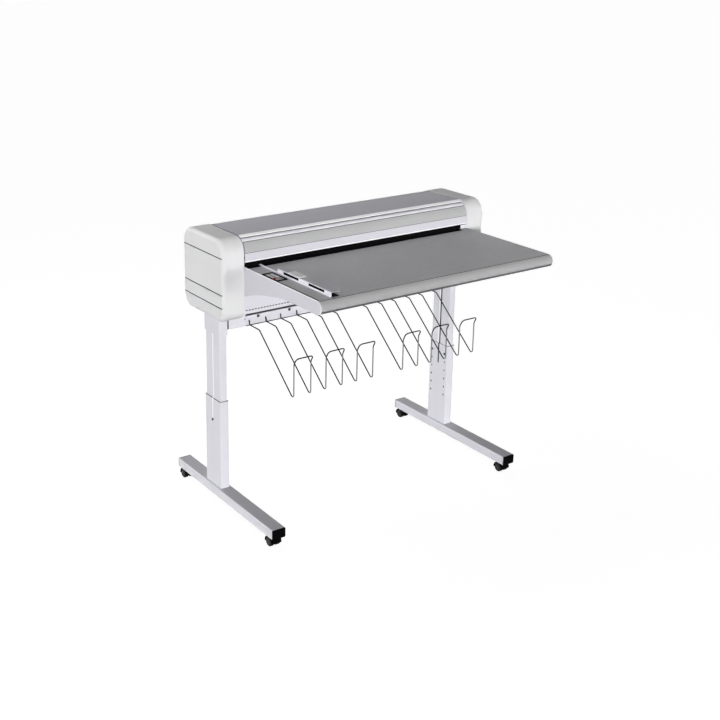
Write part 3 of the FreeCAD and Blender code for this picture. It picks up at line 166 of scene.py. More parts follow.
class Finish:
    """A procedural material whose patterns lie on the piece's own axes, in metres."""

    def __init__(self, name, tone, roughness, metallic=0.0):
        self.material = bpy.data.materials.new(name)
        self.material.use_nodes = True
        self.tree = self.material.node_tree
        self.shader = self.tree.nodes["Principled BSDF"]
        self.shader.inputs["Base Color"].default_value = tone
        self.shader.inputs["Roughness"].default_value = roughness
        self.shader.inputs["Metallic"].default_value = metallic
        self.shader.inputs["Specular IOR Level"].default_value = PLAIN_SHINE
        self.tone = tone
        self.roughness = roughness
        self.place = self.tree.nodes.new("ShaderNodeTexCoord")

    def link(self, source, target):
        self.tree.links.new(source, target)

    def noise(self, size, stretch=(1, 1, 1), detail=2.0):
        """Noise whose lumps are about size across, longer along an axis with stretch under 1."""
        mapping = self.tree.nodes.new("ShaderNodeMapping")
        mapping.inputs["Scale"].default_value = stretch
        self.link(self.place.outputs["Object"], mapping.inputs["Vector"])
        texture = self.tree.nodes.new("ShaderNodeTexNoise")
        texture.inputs["Scale"].default_value = 1 / size
        texture.inputs["Detail"].default_value = detail
        self.link(mapping.outputs["Vector"], texture.inputs["Vector"])
        return texture.outputs["Fac"]

    def cells(self, size):
        texture = self.tree.nodes.new("ShaderNodeTexVoronoi")
        texture.inputs["Scale"].default_value = 1 / size
        self.link(self.place.outputs["Object"], texture.inputs["Vector"])
        return texture.outputs["Distance"]

    def along(self, axis):
        """The place along one of the piece's own axes, in metres."""
        parts = self.tree.nodes.new("ShaderNodeSeparateXYZ")
        self.link(self.place.outputs["Object"], parts.inputs["Vector"])
        return parts.outputs[axis]

    def ranged(self, source, low, high, start=0.35, end=0.65):
        span = self.tree.nodes.new("ShaderNodeMapRange")
        span.inputs["From Min"].default_value = start
        span.inputs["From Max"].default_value = end
        span.inputs["To Min"].default_value = low
        span.inputs["To Max"].default_value = high
        self.link(source, span.inputs["Value"])
        return span.outputs["Result"]

    def mottle(self, source, darker, lighter=1.0, start=0.35, end=0.65):
        """Varies the colour between two shares of the tone; may be called again."""
        mix = self.tree.nodes.new("ShaderNodeMix")
        mix.data_type = "RGBA"
        mix.blend_type = "MULTIPLY"
        mix.inputs["Factor"].default_value = 1.0
        ramp = self.tree.nodes.new("ShaderNodeMix")
        ramp.data_type = "RGBA"
        ramp.inputs[6].default_value = (darker, darker, darker, 1)
        ramp.inputs[7].default_value = (lighter, lighter, lighter, 1)
        self.link(self.ranged(source, 0, 1, start, end), ramp.inputs[0])
        base = self.shader.inputs["Base Color"]
        if base.is_linked:
            self.link(base.links[0].from_socket, mix.inputs[6])
        else:
            mix.inputs[6].default_value = self.tone
        self.link(ramp.outputs[2], mix.inputs[7])
        self.link(mix.outputs[2], base)
        return self

    def times(self, first, second):
        """The product of two values."""
        product = self.tree.nodes.new("ShaderNodeMath")
        product.operation = "MULTIPLY"
        self.link(first, product.inputs[0])
        self.link(second, product.inputs[1])
        return product.outputs[0]

    def second_tone(self, tone, share):
        """Turns the plain colour into another where share is 1; comes before mottle."""
        mix = self.tree.nodes.new("ShaderNodeMix")
        mix.data_type = "RGBA"
        mix.inputs[6].default_value = self.tone
        mix.inputs[7].default_value = tone
        self.link(share, mix.inputs[0])
        self.link(mix.outputs[2], self.shader.inputs["Base Color"])
        return self

    def vary_roughness(self, source, change):
        low = max(self.roughness - change, 0.02)
        high = min(self.roughness + change, 1.0)
        self.link(self.ranged(source, low, high), self.shader.inputs["Roughness"])
        return self

    def bump(self, source, height):
        """Raises the surface by up to height, in metres, on top of the bumps already there."""
        node = self.tree.nodes.new("ShaderNodeBump")
        node.inputs["Strength"].default_value = 1.0
        node.inputs["Distance"].default_value = height
        normal = self.shader.inputs["Normal"]
        if normal.is_linked:
            self.link(normal.links[0].from_socket, node.inputs["Normal"])
        self.link(source, node.inputs["Height"])
        self.link(node.outputs["Normal"], normal)
        return self

    def shine(self, level):
        self.shader.inputs["Specular IOR Level"].default_value = level
        return self

    def coat(self, weight, roughness):
        self.shader.inputs["Coat Weight"].default_value = weight
        self.shader.inputs["Coat Roughness"].default_value = roughness
        return self

    def glow(self, tone, strength):
        self.shader.inputs["Emission Color"].default_value = tone
        self.shader.inputs["Emission Strength"].default_value = strength
        return self


def moulded_plastic(name, tone, roughness, shine=0.18):
    """Spark-eroded grain with faint flow marks."""
    finish = Finish(name, tone, roughness)
    grain = finish.noise(0.0009, detail=3.0)
    finish.mottle(finish.noise(0.12), 0.985)
    finish.mottle(grain, 0.975)
    finish.vary_roughness(finish.noise(0.03), 0.05)
    finish.shine(shine)
    return finish.bump(grain, 0.00003).material


def powder_coat(name, tone, roughness):
    """Orange peel of baked powder."""
    finish = Finish(name, tone, roughness)
    peel = finish.noise(0.0022, detail=1.0)
    finish.mottle(finish.noise(0.2), 0.98)
    finish.mottle(finish.noise(0.0007, detail=1.0), 0.985)
    finish.vary_roughness(peel, 0.06)
    return finish.bump(peel, 0.00004).material


def structured_paint(name, tone, roughness):
    """Coarse speckled paint of the feed table."""
    finish = Finish(name, tone, roughness)
    speck = finish.noise(0.0016, detail=3.0)
    finish.mottle(finish.noise(0.25), 0.96)
    finish.mottle(finish.noise(0.007), 0.93, 1.03)
    finish.mottle(speck, 0.88, 1.05, 0.30, 0.70)
    finish.vary_roughness(finish.noise(0.02), 0.06)
    finish.bump(finish.cells(0.0021), 0.00005)
    return finish.bump(speck, 0.00004).material


def extruded_metal(name, tone, roughness, metallic, coat=0.0):
    """Drawn aluminium with die lines along its length, under a clear coat if one is asked for."""
    finish = Finish(name, tone, roughness, metallic)
    run = (0.01, 1, 1)
    lines = finish.noise(0.0008, run)
    finish.mottle(lines, 0.95, 1.02)
    finish.mottle(finish.noise(0.09), 0.98)
    finish.vary_roughness(finish.noise(0.004, run), 0.07)
    if coat:
        finish.coat(coat, 0.12)
    return finish.bump(lines, 0.00001).material


def rolled_sheet(name, tone, roughness):
    """Zinc-plated sheet: soft spangle under rolling lines."""
    finish = Finish(name, tone, roughness, 0.9)
    finish.mottle(finish.cells(0.012), 0.88, 1.04, 0.1, 0.6)
    finish.vary_roughness(finish.noise(0.006, (0.1, 1, 1)), 0.08)
    return finish.bump(finish.noise(0.0012, (0.05, 1, 1)), 0.00001).material


def turned_steel(name, tone, roughness):
    """Bare steel with fine rings from the lathe."""
    finish = Finish(name, tone, roughness, 1.0)
    marks = finish.noise(0.0006, (1, 0.05, 0.05))
    finish.mottle(marks, 0.93)
    finish.vary_roughness(finish.noise(0.008), 0.06)
    return finish.bump(marks, 0.000006).material


def drawn_wire(name, tone, hoop_painted_highlight_tone, roughness):
    """Dull chrome on drawn wire, a little uneven, with a painted highlight that makes the hoops'
    sides brighter.
    """
    finish = Finish(name, tone, roughness, 0.85)
    front = finish.ranged(finish.along("Y"), 0, 1, *HOOP_PAINTED_HIGHLIGHT_FORWARDS)
    low = finish.ranged(finish.along("Z"), 0, 1, *HOOP_PAINTED_HIGHLIGHT_DOWNWARDS)
    finish.second_tone(hoop_painted_highlight_tone, finish.times(front, low))
    finish.mottle(finish.noise(0.011), 0.82, 1.08)
    finish.vary_roughness(finish.noise(0.0035), 0.09)
    return finish.bump(finish.noise(0.0007), 0.000008).material


def rubber(name, tone, grain_size):
    """Dull rubber with an even grain."""
    finish = Finish(name, tone, 0.72)
    grain = finish.noise(grain_size, detail=3.0)
    finish.mottle(finish.noise(0.02), 0.88, 1.06)
    finish.vary_roughness(grain, 0.08)
    return finish.bump(grain, 0.00006).material


def printed_film(name, tone, roughness):
    """Matt polyester film with a fine velvet grain."""
    finish = Finish(name, tone, roughness)
    grain = finish.noise(0.0004)
    finish.mottle(grain, 0.96)
    finish.vary_roughness(finish.noise(0.01), 0.04)
    return finish.bump(grain, 0.000008).material


def bristle(name, tone):
    """Dense upright hairs of a dust brush."""
    finish = Finish(name, tone, 0.85)
    hairs = finish.noise(0.0006, (1, 1, 0.03))
    finish.mottle(hairs, 0.5, 1.4)
    finish.shine(0.05)
    return finish.bump(hairs, 0.0002).material


def guide_metal_with_painted_shade(name, wall_tone, flange_painted_shade_tone, roughness):
    """White wall below and a darker tone on top of the flange, painted shade of that top face;
    drawn lines run along it.
    """
    finish = Finish(name, wall_tone, roughness, 0.04)
    ceiling, wall = GUIDE_CEILING / 1000, GUIDE_WALL[1] / 1000
    # Mask of the flange's top, where the darker tone paints shade
    top = finish.ranged(finish.along("Z"), 0, 1, ceiling - 0.0002, ceiling)
    inward = finish.ranged(finish.along("X"), 0, 1, wall + 0.0001, wall + 0.0005)
    finish.second_tone(flange_painted_shade_tone, finish.times(top, inward))
    run = (1, 0.01, 1)
    lines = finish.noise(0.0008, run)
    finish.mottle(lines, 0.95, 1.02)
    finish.vary_roughness(finish.noise(0.004, run), 0.07)
    return finish.bump(lines, 0.00001).material


def lamp_lens(name, tone, strength):
    """Lit coloured lens, a little cloudy."""
    finish = Finish(name, tone, 0.25)
    finish.mottle(finish.noise(0.002), 0.85, 1.1)
    return finish.glow(tone, strength).material


MATERIALS = {
    "cap_plastic": moulded_plastic("cap_plastic", paint(224, 224, 225), 0.58, 0.08),
    "white_paint": powder_coat("white_paint", paint(221, 220, 227), 0.42),
    # The lid's grey is partly painted shade of its top face; its paint is lighter, near the white
    # paint
    "grey_paint": powder_coat("grey_paint", paint(171, 170, 180), 0.44),
    "grey_band": extruded_metal("grey_band", paint(182, 182, 183), 0.42, 0.06),
    "bright_profile": extruded_metal("bright_profile", paint(246, 245, 250), 0.32, 0.06, 0.1),
    "table_paint": structured_paint("table_paint", paint(199, 199, 202), 0.52),
    "nose_profile": extruded_metal("nose_profile", paint(174, 174, 175), 0.40, 0.1),
    "clip_plastic": moulded_plastic("clip_plastic", paint(228, 228, 228), 0.42),
    "black_plastic": moulded_plastic("black_plastic", paint(6, 6, 7), 0.62, 0.015),
    "key_panel": printed_film("key_panel", paint(164, 165, 168), 0.50),
    "key_plastic": printed_film("key_plastic", paint(224, 225, 228), 0.42),
    "roller_rubber": rubber("roller_rubber", paint(46, 46, 49), 0.0012),
    "belt_rubber": rubber("belt_rubber", paint(24, 24, 26), 0.0007),
    "steel": turned_steel("steel", paint(176, 177, 180), 0.32),
    "dark_steel": turned_steel("dark_steel", paint(62, 62, 65), 0.38),
    "zinc_sheet": rolled_sheet("zinc_sheet", paint(186, 188, 190), 0.42),
    "motor_case": powder_coat("motor_case", paint(52, 52, 56), 0.44),
    # The wire's second, lighter tone is a painted highlight on the hoops
    "rack_wire": drawn_wire("rack_wire", paint(32, 32, 34), paint(126, 126, 130), 0.36),
    "castor_tyre": rubber("castor_tyre", paint(12, 12, 13), 0.0009),
}
PANEL_PAINT = powder_coat("panel_paint", paint(212, 211, 218), 0.42)
# The side guide, its flange's top in a darker tone as painted shade
GUIDE_METAL_WITH_PAINTED_SHADE = guide_metal_with_painted_shade("guide_metal_with_painted_shade", paint(232, 231, 238), paint(178, 177, 184), 0.45)
# Near-white plastic of the columns' guide strips and the panel's edging, also painted highlight on
# the white strip's lower edge, beside the inner columns' grooves and in the legs' outer slots
GLIDE_PLASTIC_AND_PAINTED_HIGHLIGHT = moulded_plastic("glide_plastic_and_painted_highlight", paint(254, 254, 255), 0.40)
# Black bristle that paints shade in the throat, under the white strip and in the side guide's
# channel
PAINTED_SHADE_HAIR = bristle("painted_shade_hair", paint(7, 7, 8))
# Dark grey rubber: painted shade under the nose, in the lid lip's joint and in the legs' upper
# holes, and the legs' wiper rings, whose dark also paints the shade of the gap at the legs' tops
EDGE_RUBBER_AND_PAINTED_SHADE = rubber("edge_rubber_and_painted_shade", paint(96, 96, 99), 0.0010)
RED_LAMP = lamp_lens("red_lamp", paint(255, 14, 10), 1.1)
STRIP_PAINT = powder_coat("strip_paint", paint(209, 208, 215), 0.42)
LID_LIP = extruded_metal("lid_lip", paint(254, 253, 255), 0.34, 0.0, 0.35)
COVER_LIP = extruded_metal("cover_lip", paint(224, 222, 229), 0.34, 0.0, 0.1)
NODE_MATERIALS = {
    "table_left_panel": PANEL_PAINT, "side_guide": GUIDE_METAL_WITH_PAINTED_SHADE, "front_strip": STRIP_PAINT,
    "top_cover_profile": LID_LIP, "front_cover_profile": COVER_LIP,
}


# CAD nodes: their material, softened edges and smooth shading

def smooth_group():
    """Geometry nodes that shade faces smooth except across edges over 32 degrees."""
    group = bpy.data.node_groups.new("smooth_by_angle", "GeometryNodeTree")
    group.interface.new_socket("Mesh", in_out="INPUT", socket_type="NodeSocketGeometry")
    group.interface.new_socket("Mesh", in_out="OUTPUT", socket_type="NodeSocketGeometry")
    start = group.nodes.new("NodeGroupInput")
    end = group.nodes.new("NodeGroupOutput")
    angle = group.nodes.new("GeometryNodeInputMeshEdgeAngle")
    sharp = group.nodes.new("FunctionNodeCompare")
    sharp.inputs[1].default_value = math.radians(32)
    faces = group.nodes.new("GeometryNodeSetShadeSmooth")
    faces.domain = "FACE"
    edges = group.nodes.new("GeometryNodeSetShadeSmooth")
    edges.domain = "EDGE"
    edges.inputs["Shade Smooth"].default_value = False
    group.links.new(start.outputs[0], faces.inputs["Geometry"])
    group.links.new(faces.outputs["Geometry"], edges.inputs["Geometry"])
    group.links.new(angle.outputs["Unsigned Angle"], sharp.inputs[0])
    group.links.new(sharp.outputs["Result"], edges.inputs["Selection"])
    group.links.new(edges.outputs["Geometry"], end.inputs[0])
    return group


SMOOTH = smooth_group()


def soften(piece, width):
    """Rounds the piece's edges by width and shades its curved faces smooth."""
    weld = piece.modifiers.new("weld", "WELD")
    weld.merge_threshold = 0.00001
    flat = piece.modifiers.new("flat_faces", "DECIMATE")
    flat.decimate_type = "DISSOLVE"
    flat.angle_limit = math.radians(0.4)
    if width:
        bevel = piece.modifiers.new("edges", "BEVEL")
        bevel.width = width
        bevel.segments = 2
        bevel.limit_method = "ANGLE"
        bevel.angle_limit = math.radians(38)
    smooth = piece.modifiers.new("smooth", "NODES")
    smooth.node_group = SMOOTH
    weighted = piece.modifiers.new("normals", "WEIGHTED_NORMAL")
    weighted.keep_sharp = True


EDGE_WIDTHS = {
    "cap_plastic": MOULDED_EDGE, "white_paint": SHEET_EDGE, "grey_paint": SHEET_EDGE,
    "grey_band": FINE_EDGE, "bright_profile": FINE_EDGE, "table_paint": SHEET_EDGE,
    "nose_profile": FINE_EDGE, "clip_plastic": FINE_EDGE, "black_plastic": FINE_EDGE,
    "key_panel": FINE_EDGE, "key_plastic": FINE_EDGE, "steel": FINE_EDGE,
    "castor_tyre": FINE_EDGE,
}


def finish_cad_nodes():
    for part in frame["record"]["subparts"]:
        slot = part["material_slot"]
        node = nodes[part["node"]]
        node.data.materials.clear()
        node.data.materials.append(NODE_MATERIALS.get(part["node"], MATERIALS[slot]))
        width = EDGE_WIDTHS.get(slot, 0)
        if part["node"].endswith(("_leg", "_upper_column")) or part["node"] == "column_collars":
            width = TUBE_EDGE
        soften(node, width)


# Own pieces

def new_piece(name, vertices, faces, slot, body, material=None):
    """Mesh in metres that rides on a body; shows its slot's material or the one given."""
    mesh = bpy.data.meshes.new(name)
    mesh.from_pydata([tuple(v) for v in vertices], [], faces)
    mesh.validate()
    mesh.update()
    mesh.materials.append(material or MATERIALS[slot])
    piece = bpy.data.objects.new(name, mesh)
    bpy.context.scene.collection.objects.link(piece)
    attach(piece, body)
    return piece


def shade_smooth(piece):
    """Shades faces smooth except across edges over 35 degrees."""
    limit = math.radians(35)
    work = bmesh.new()
    work.from_mesh(piece.data)
    bmesh.ops.recalc_face_normals(work, faces=work.faces)
    for face in work.faces:
        face.smooth = True
    for edge in work.edges:
        edge.smooth = len(edge.link_faces) < 2 or edge.calc_face_angle(0) < limit
    work.to_mesh(piece.data)
    work.free()


def rounded_points(points, radii):
    """Points along straight runs, with each inner corner turned on an arc."""
    step = math.radians(9)
    path = [points[0]]
    for i in range(1, len(points) - 1):
        corner = points[i]
        a = (points[i - 1] - corner).normalized()
        b = (points[i + 1] - corner).normalized()
        turn = math.pi - a.angle(b)
        radius = radii[i - 1]
        centre = corner + (a + b).normalized() * (radius / math.cos(turn / 2))
        spoke = corner + a * (radius * math.tan(turn / 2)) - centre
        axis = b.cross(a).normalized()
        count = max(2, math.ceil(turn / step))
        for k in range(count + 1):
            path.append(centre + Matrix.Rotation(turn * k / count, 3, axis) @ spoke)
    path.append(points[-1])
    return path


def tube(name, path, radius, slot, body):
    """Round rod along the path, its ends slightly domed."""
    sides = 16
    across = (path[1] - path[0]).orthogonal().normalized()
    rings = []
    for i, point in enumerate(path):
        run = (point - path[i - 1]).normalized() if i else (path[1] - path[0]).normalized()
        ahead = (path[i + 1] - point).normalized() if i < len(path) - 1 else run
        along = (run + ahead).normalized()
        across = (across - along * across.dot(along)).normalized()
        other = along.cross(across)
        stretch = 1 / max(run.dot(along), 0.5)
        rings.append((point, across, other, stretch, along))
    vertices, faces = [], []

    def add_ring(centre, across, other, size):
        for k in range(sides):
            angle = 2 * math.pi * k / sides
            vertices.append(centre + (across * math.cos(angle) + other * math.sin(angle)) * size)

    first, last = rings[0], rings[-1]
    add_ring(first[0], first[1], first[2], radius * 0.8)
    add_ring(first[0] + first[4] * radius * 0.2, first[1], first[2], radius)
    for ring in rings[1:-1]:
        add_ring(ring[0], ring[1], ring[2], radius)
    add_ring(last[0] - last[4] * radius * 0.2, last[1], last[2], radius)
    add_ring(last[0], last[1], last[2], radius * 0.8)
    count = len(vertices) // sides
    for i in range(count - 1):
        for k in range(sides):
            n = (k + 1) % sides
            faces.append((i * sides + k, i * sides + n, (i + 1) * sides + n, (i + 1) * sides + k))
    faces.append(tuple(range(sides))[::-1])
    faces.append(tuple((count - 1) * sides + k for k in range(sides)))
    piece = new_piece(name, vertices, faces, slot, body)
    shade_smooth(piece)
    return piece


def wire_racks():
    """A round wire in place of each of the CAD model's racks."""
    number = 1
    while "wire_rack_%d" % number in nodes:
        node = "wire_rack_%d" % number
        low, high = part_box(node)
        centre = (low.x + high.x) / 2
        left = [Vector((centre - RACK_HALF, y, z)) for y, z in RACK_SIDE]
        right = [Vector((centre + RACK_HALF, y, z)) for y, z in RACK_SIDE]
        path = rounded_points(left + right[::-1], RACK_BENDS + RACK_BENDS[::-1])
        rack = tube("round_" + node, path, WIRE_RADIUS, "rack_wire", "head")
        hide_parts(node)
        number += 1


def blocks(name, boxes, slot, body, material=None):
    """One piece made of boxes, each (x0, x1, y0, y1, z0, z1) in millimetres."""
    vertices, faces = [], []
    for x0, x1, y0, y1, z0, z1 in boxes:
        first = len(vertices)
        for z in (z0, z1):
            for x, y in ((x0, y0), (x1, y0), (x1, y1), (x0, y1)):
                vertices.append((x / 1000, y / 1000, z / 1000))
        for ring in ((3, 2, 1, 0), (4, 5, 6, 7), (0, 1, 5, 4), (1, 2, 6, 5), (2, 3, 7, 6),
                     (3, 0, 4, 7)):
            faces.append(tuple(first + k for k in ring))
    return new_piece(name, vertices, faces, slot, body, material)


def turned(name, places, profile, axis, slot, body, material=None, sides=24):
    """Rings (distance along axis, radius) turned about each place, all in millimetres."""
    vertices, faces = [], []
    for place in places:
        centre = Vector(place)
        for distance, radius in profile:
            for k in range(sides):
                angle = 2 * math.pi * k / sides
                a, b = radius * math.cos(angle), radius * math.sin(angle)
                offset = {"x": (distance, a, b), "y": (b, distance, a), "z": (a, b, distance)}[axis]
                vertices.append((centre + Vector(offset)) / 1000)
        first = len(vertices) - sides * len(profile)
        for i in range(len(profile) - 1):
            for k in range(sides):
                n = (k + 1) % sides
                a, b = first + i * sides, first + (i + 1) * sides
                faces.append((a + k, a + n, b + n, b + k))
        faces.append(tuple(first + k for k in range(sides))[::-1])
        last = len(vertices) - sides
        faces.append(tuple(last + k for k in range(sides)))
    piece = new_piece(name, vertices, faces, slot, body, material)
    shade_smooth(piece)
    return piece


def extruded(name, outline, x0, x1, slot, body, material=None):
    """Bar across the machine with the given (y, z) outline, all in millimetres."""
    count = len(outline)
    vertices = [(x / 1000, y / 1000, z / 1000) for x in (x0, x1) for y, z in outline]
    faces = [tuple(range(count)), tuple(range(count, 2 * count))[::-1]]
    for k in range(count):
        n = (k + 1) % count
        faces.append((k, count + k, count + n, n))
    piece = new_piece(name, vertices, faces, slot, body, material)
    shade_smooth(piece)
    return piece


def arc_outline(centre, inner, outer, start, end, count=8):
    """Band between two radii, from start to end degrees forwards from the top."""
    angles = [math.radians(start + (end - start) * k / count) for k in range(count + 1)]
    points = [(outer, angle) for angle in angles] + [(inner, angle) for angle in angles[::-1]]
    return [(centre[0] - radius * math.sin(angle), centre[1] + radius * math.cos(angle))
            for radius, angle in points]


def cap_groove_painted_shade():
    """Black strips on the floors of the grooves in the end caps' sides, as painted shade in the
    grooves.
    """
    floor = CAP_SIDE - GROOVE_DEPTH
    half = GROOVE_WIDTH / 2 + 0.1
    boxes = []
    for side in (-1, 1):
        x0, x1 = sorted((side * (floor - SUNK), side * (floor + 0.5)))
        for drop in GROOVE_DROPS:
            middle = HEAD_TOP - drop
            boxes.append((x0, x1, GROOVE_FRONT, GROOVE_REAR, middle - half, middle + half))
    blocks("cap_groove_painted_shade", boxes, "black_plastic", "head")


def throat_painted_shade_brush():
    """Dust brush behind the white strip, clear of the table, and felt in front of it, both black as
    painted shade of the throat and the table before it.
    """
    brush = [(-555, 529, HEAD_FRONT + 3.2, HEAD_FRONT + 8, TABLE_TOP + 1, THROAT_TOP + 0.2)]
    blocks("throat_painted_shade_brush", brush, "black_plastic", "front_cover", PAINTED_SHADE_HAIR)
    rear, low, high = HEAD_FRONT + 10, TABLE_TOP - SUNK, TABLE_TOP + PAINTED_SHADE_FELT
    felt = [(GUIDE_WALL[1] + 0.5, 522, 8, rear, low, high),
            (TABLE_LEFT, GUIDE_WALL[0] - 0.5, 10, rear, low, high)]
    blocks("throat_painted_shade_felt", felt, "black_plastic", "head", PAINTED_SHADE_HAIR)


def painted_shade_bead(name, y, z, radius):
    """Thin round dark bead along the front cover, as painted shade in a gap."""
    profile = [(-COVER_HALF, radius), (COVER_HALF, radius)]
    turned(name, [(0, y, z)], profile, "x", "black_plastic", "front_cover", sides=10)


def cover_trim():
    """Dark beads round the grey band and a dark gasket in the lid's lip as painted shade in their
    gaps, and the white strip's edges: a near-white painted highlight with black painted shade below
    it.
    """
    painted_shade_bead("band_lower_painted_shade", HEAD_FRONT + 0.2, COVER_CENTRE[1], 0.7)
    angle = math.radians(BAND_END_ANGLE)
    reach = COVER_RADIUS - 0.6
    painted_shade_bead("band_upper_painted_shade", COVER_CENTRE[0] - reach * math.sin(angle),
               COVER_CENTRE[1] + reach * math.cos(angle), 1.0)
    gasket = arc_outline(COVER_CENTRE, COVER_RADIUS - 3, COVER_RADIUS - 0.4, 26.0, 26.35, 2)
    extruded("lid_lip_painted_shade_gasket", gasket, -COVER_HALF, COVER_HALF, "black_plastic", "top_cover",
             EDGE_RUBBER_AND_PAINTED_SHADE)
    across = (-COVER_HALF, COVER_HALF, HEAD_FRONT - 0.4, HEAD_FRONT + 0.3)
    # Near-white edge on the strip's lower front edge, a painted highlight
    blocks("strip_painted_highlight", [(*across, THROAT_TOP + 2.9, THROAT_TOP + 6.6)],
           "white_paint", "front_cover", GLIDE_PLASTIC_AND_PAINTED_HIGHLIGHT)
    # Black below it, painted shade at the top of the throat
    blocks("strip_lower_painted_shade", [(*across, THROAT_TOP + 0.1, THROAT_TOP + 2.8)],
           "black_plastic", "front_cover", PAINTED_SHADE_HAIR)


def nose_trim():
    """Dark strip in the nose's groove and a dark band under the nose, both painted shade."""
    groove_shade = arc_outline(NOSE_CENTRE, NOSE_RADIUS - 1.5, NOSE_RADIUS - 0.8, 4.2, 13.8)
    extruded("nose_groove_painted_shade", groove_shade, TABLE_LEFT, TABLE_RIGHT, "black_plastic", "head")
    edge = arc_outline(NOSE_CENTRE, NOSE_RADIUS - 0.4, NOSE_RADIUS + 0.25, 114, 150, 12)
    extruded("nose_lower_painted_shade", edge, TABLE_LEFT, TABLE_RIGHT, "dark_steel", "head", EDGE_RUBBER_AND_PAINTED_SHADE)


def keypad_details():
    """Printed lines, a long light key and two red lamps on the control panel."""
    left, right = KEY_SIDES[0] - 1.4, KEY_SIDES[1] + 1.4
    thin, thick = 0.8, 1.2
    lines = []
    for y in KEY_PLACES:
        low, high = y - 4.9, y + 4.9
        lines += [(left, right, low, low + thin), (left, right, high - thin, high),
                  (left, left + thin, low, high), (right - thin, right, low, high)]
    left, right, low, high = -546.3, -530.8, -148.2, -96.0
    lines += [(left, right, high - thick, high), (left, right, low, low + thick),
              (right - thick, right, low, high), (-533.2, -511.8, -159.6, -158.4)]
    bottom = KEYPAD_TOP - SUNK
    boxes = [(*line, bottom, KEYPAD_TOP + 0.15) for line in lines]
    boxes.append((left, -533.0, -160.4, -148.6, bottom, KEYPAD_TOP + 0.1))
    blocks("keypad_lines", boxes, "black_plastic", "head")
    blocks("keypad_long_key", [(-544.5, -534.5, -143.6, -100.6, bottom, KEYPAD_TOP + 0.6)],
           "key_plastic", "head")
    dome = [(-0.3, 2.3), (0.4, 2.2), (1.0, 1.8), (1.4, 1.0), (1.5, 0.3)]
    turned("keypad_lamps", [(x, y, KEYPAD_TOP) for x, y in LAMP_PLACES], dome, "z",
           "key_plastic", "head", RED_LAMP)


def panel_trim():
    """Dark joint beside the left panel and the bright edging round the panel's outline."""
    blocks("table_seam", [(TABLE_LEFT - 0.1, TABLE_LEFT + 7.5, NOSE_CENTRE[0], -189.2,
                           TABLE_TOP - SUNK, TABLE_TOP + 0.25)],
           "black_plastic", "head")
    outside, inside = PANEL_SIDE - 0.3, PANEL_SIDE + SUNK
    edging = arc_outline(NOSE_CENTRE, NOSE_RADIUS - 0.8, NOSE_RADIUS + 2, 0, 140, 20)
    extruded("panel_edging", edging, outside, inside, "white_paint", "head", GLIDE_PLASTIC_AND_PAINTED_HIGHLIGHT)
    blocks("panel_edging_top", [(outside, inside, NOSE_CENTRE[0], HEAD_FRONT - 0.5,
                                 TABLE_TOP - 0.8, TABLE_TOP + 2)],
           "white_paint", "head", GLIDE_PLASTIC_AND_PAINTED_HIGHLIGHT)


def guide_details():
    """Dark window panes in the side guide's wall, and black felt lining its channel as painted
    shade inside it.
    """
    panes = [(GUIDE_WALL[0] + 0.1, GUIDE_WALL[1] - 0.4, y0, y1, TABLE_TOP + 7, TABLE_TOP + 16)
             for y0, y1 in GUIDE_WINDOWS]
    blocks("guide_panes", panes, "black_plastic", "head")
    wall, edge = GUIDE_WALL[1], GUIDE_EDGE - 0.4
    felt = [(wall - 0.1, wall + 0.4, *GUIDE_REACH, TABLE_TOP + 0.6, GUIDE_CEILING - 0.2),
            (wall + 0.4, edge, *GUIDE_REACH, GUIDE_CEILING - 0.4, GUIDE_CEILING + 0.1),
            (wall + 0.1, edge, *GUIDE_REACH, TABLE_TOP - SUNK, TABLE_TOP + PAINTED_SHADE_FELT)]
    blocks("guide_painted_shade_felt", felt, "black_plastic", "head", PAINTED_SHADE_HAIR)


def front_wall_details():
    """Perforated seam, rail screws and the dark edges round the exit slot's wall, which are painted
    shade under the rail and in the gaps at the beam's ends.
    """
    slots = [(x, x + 9.6, WALL_FRONT - SUNK, WALL_FRONT + 0.5, 833.2, 836.8)
             for x in range(-493, 486, 14)]
    blocks("wall_perforation", slots, "black_plastic", "head")
    head = [(0.5, 6.4), (-1.0, 6.4), (-2.0, 5.2), (-2.5, 2.4), (-1.0, 2.2), (-1.0, 0.4)]
    places = [(-437 + 150 * k, RAIL_FRONT, 805) for k in range(7)]
    turned("rail_screws", places, head, "y", "dark_steel", "head")
    blocks("rail_lower_painted_shade", [(-RAIL_END + SUNK, RAIL_END - SUNK, RAIL_FRONT - 0.25,
                                RAIL_FRONT + 0.5, RAIL_BOTTOM + 0.1, RAIL_BOTTOM + 3.4)],
           "black_plastic", "head")
    painted_gap_shade = [(x, x + 6.4, BEAM_FRONT - 0.6, BEAM_FRONT + 5.7, RAIL_BOTTOM + 0.1, BEAM_TOP + 0.2)
             for x in (-BEAM_END + SUNK, BEAM_END - SUNK - 6.4)]
    blocks("beam_end_painted_shade", painted_gap_shade, "black_plastic", "head")
    dowel = [(0.3, 2.2), (-0.4, 2.2), (-0.7, 1.5)]
    places = [(x, WALL_FRONT, 800) for x in (-RAIL_END - 3.5, RAIL_END + 3.5)]
    turned("rail_dowels", places, dowel, "y", "dark_steel", "head")


def inner_column_details(name, span):
    """Bright strips on the inner column's two faces, the one on the inner face a painted highlight
    beside its groove, and a dark one in its inner groove as painted shade.
    """
    strip = (COLUMN_Y - 3.8, COLUMN_Y + 3.8, *INNER_STRIP_RISE)
    blocks(name + "_glide_strips_and_painted_highlight",
           [(*span(14.4, 15.7), *strip),
            (*span(-16.3, -15.5), COLUMN_Y + 4.2, COLUMN_Y + 13.2, *INNER_STRIP_RISE)],
           "white_paint", "head", GLIDE_PLASTIC_AND_PAINTED_HIGHLIGHT)
    blocks(name + "_groove_painted_shade", [(*span(-15.7, -14.4), *strip)], "black_plastic", "head")


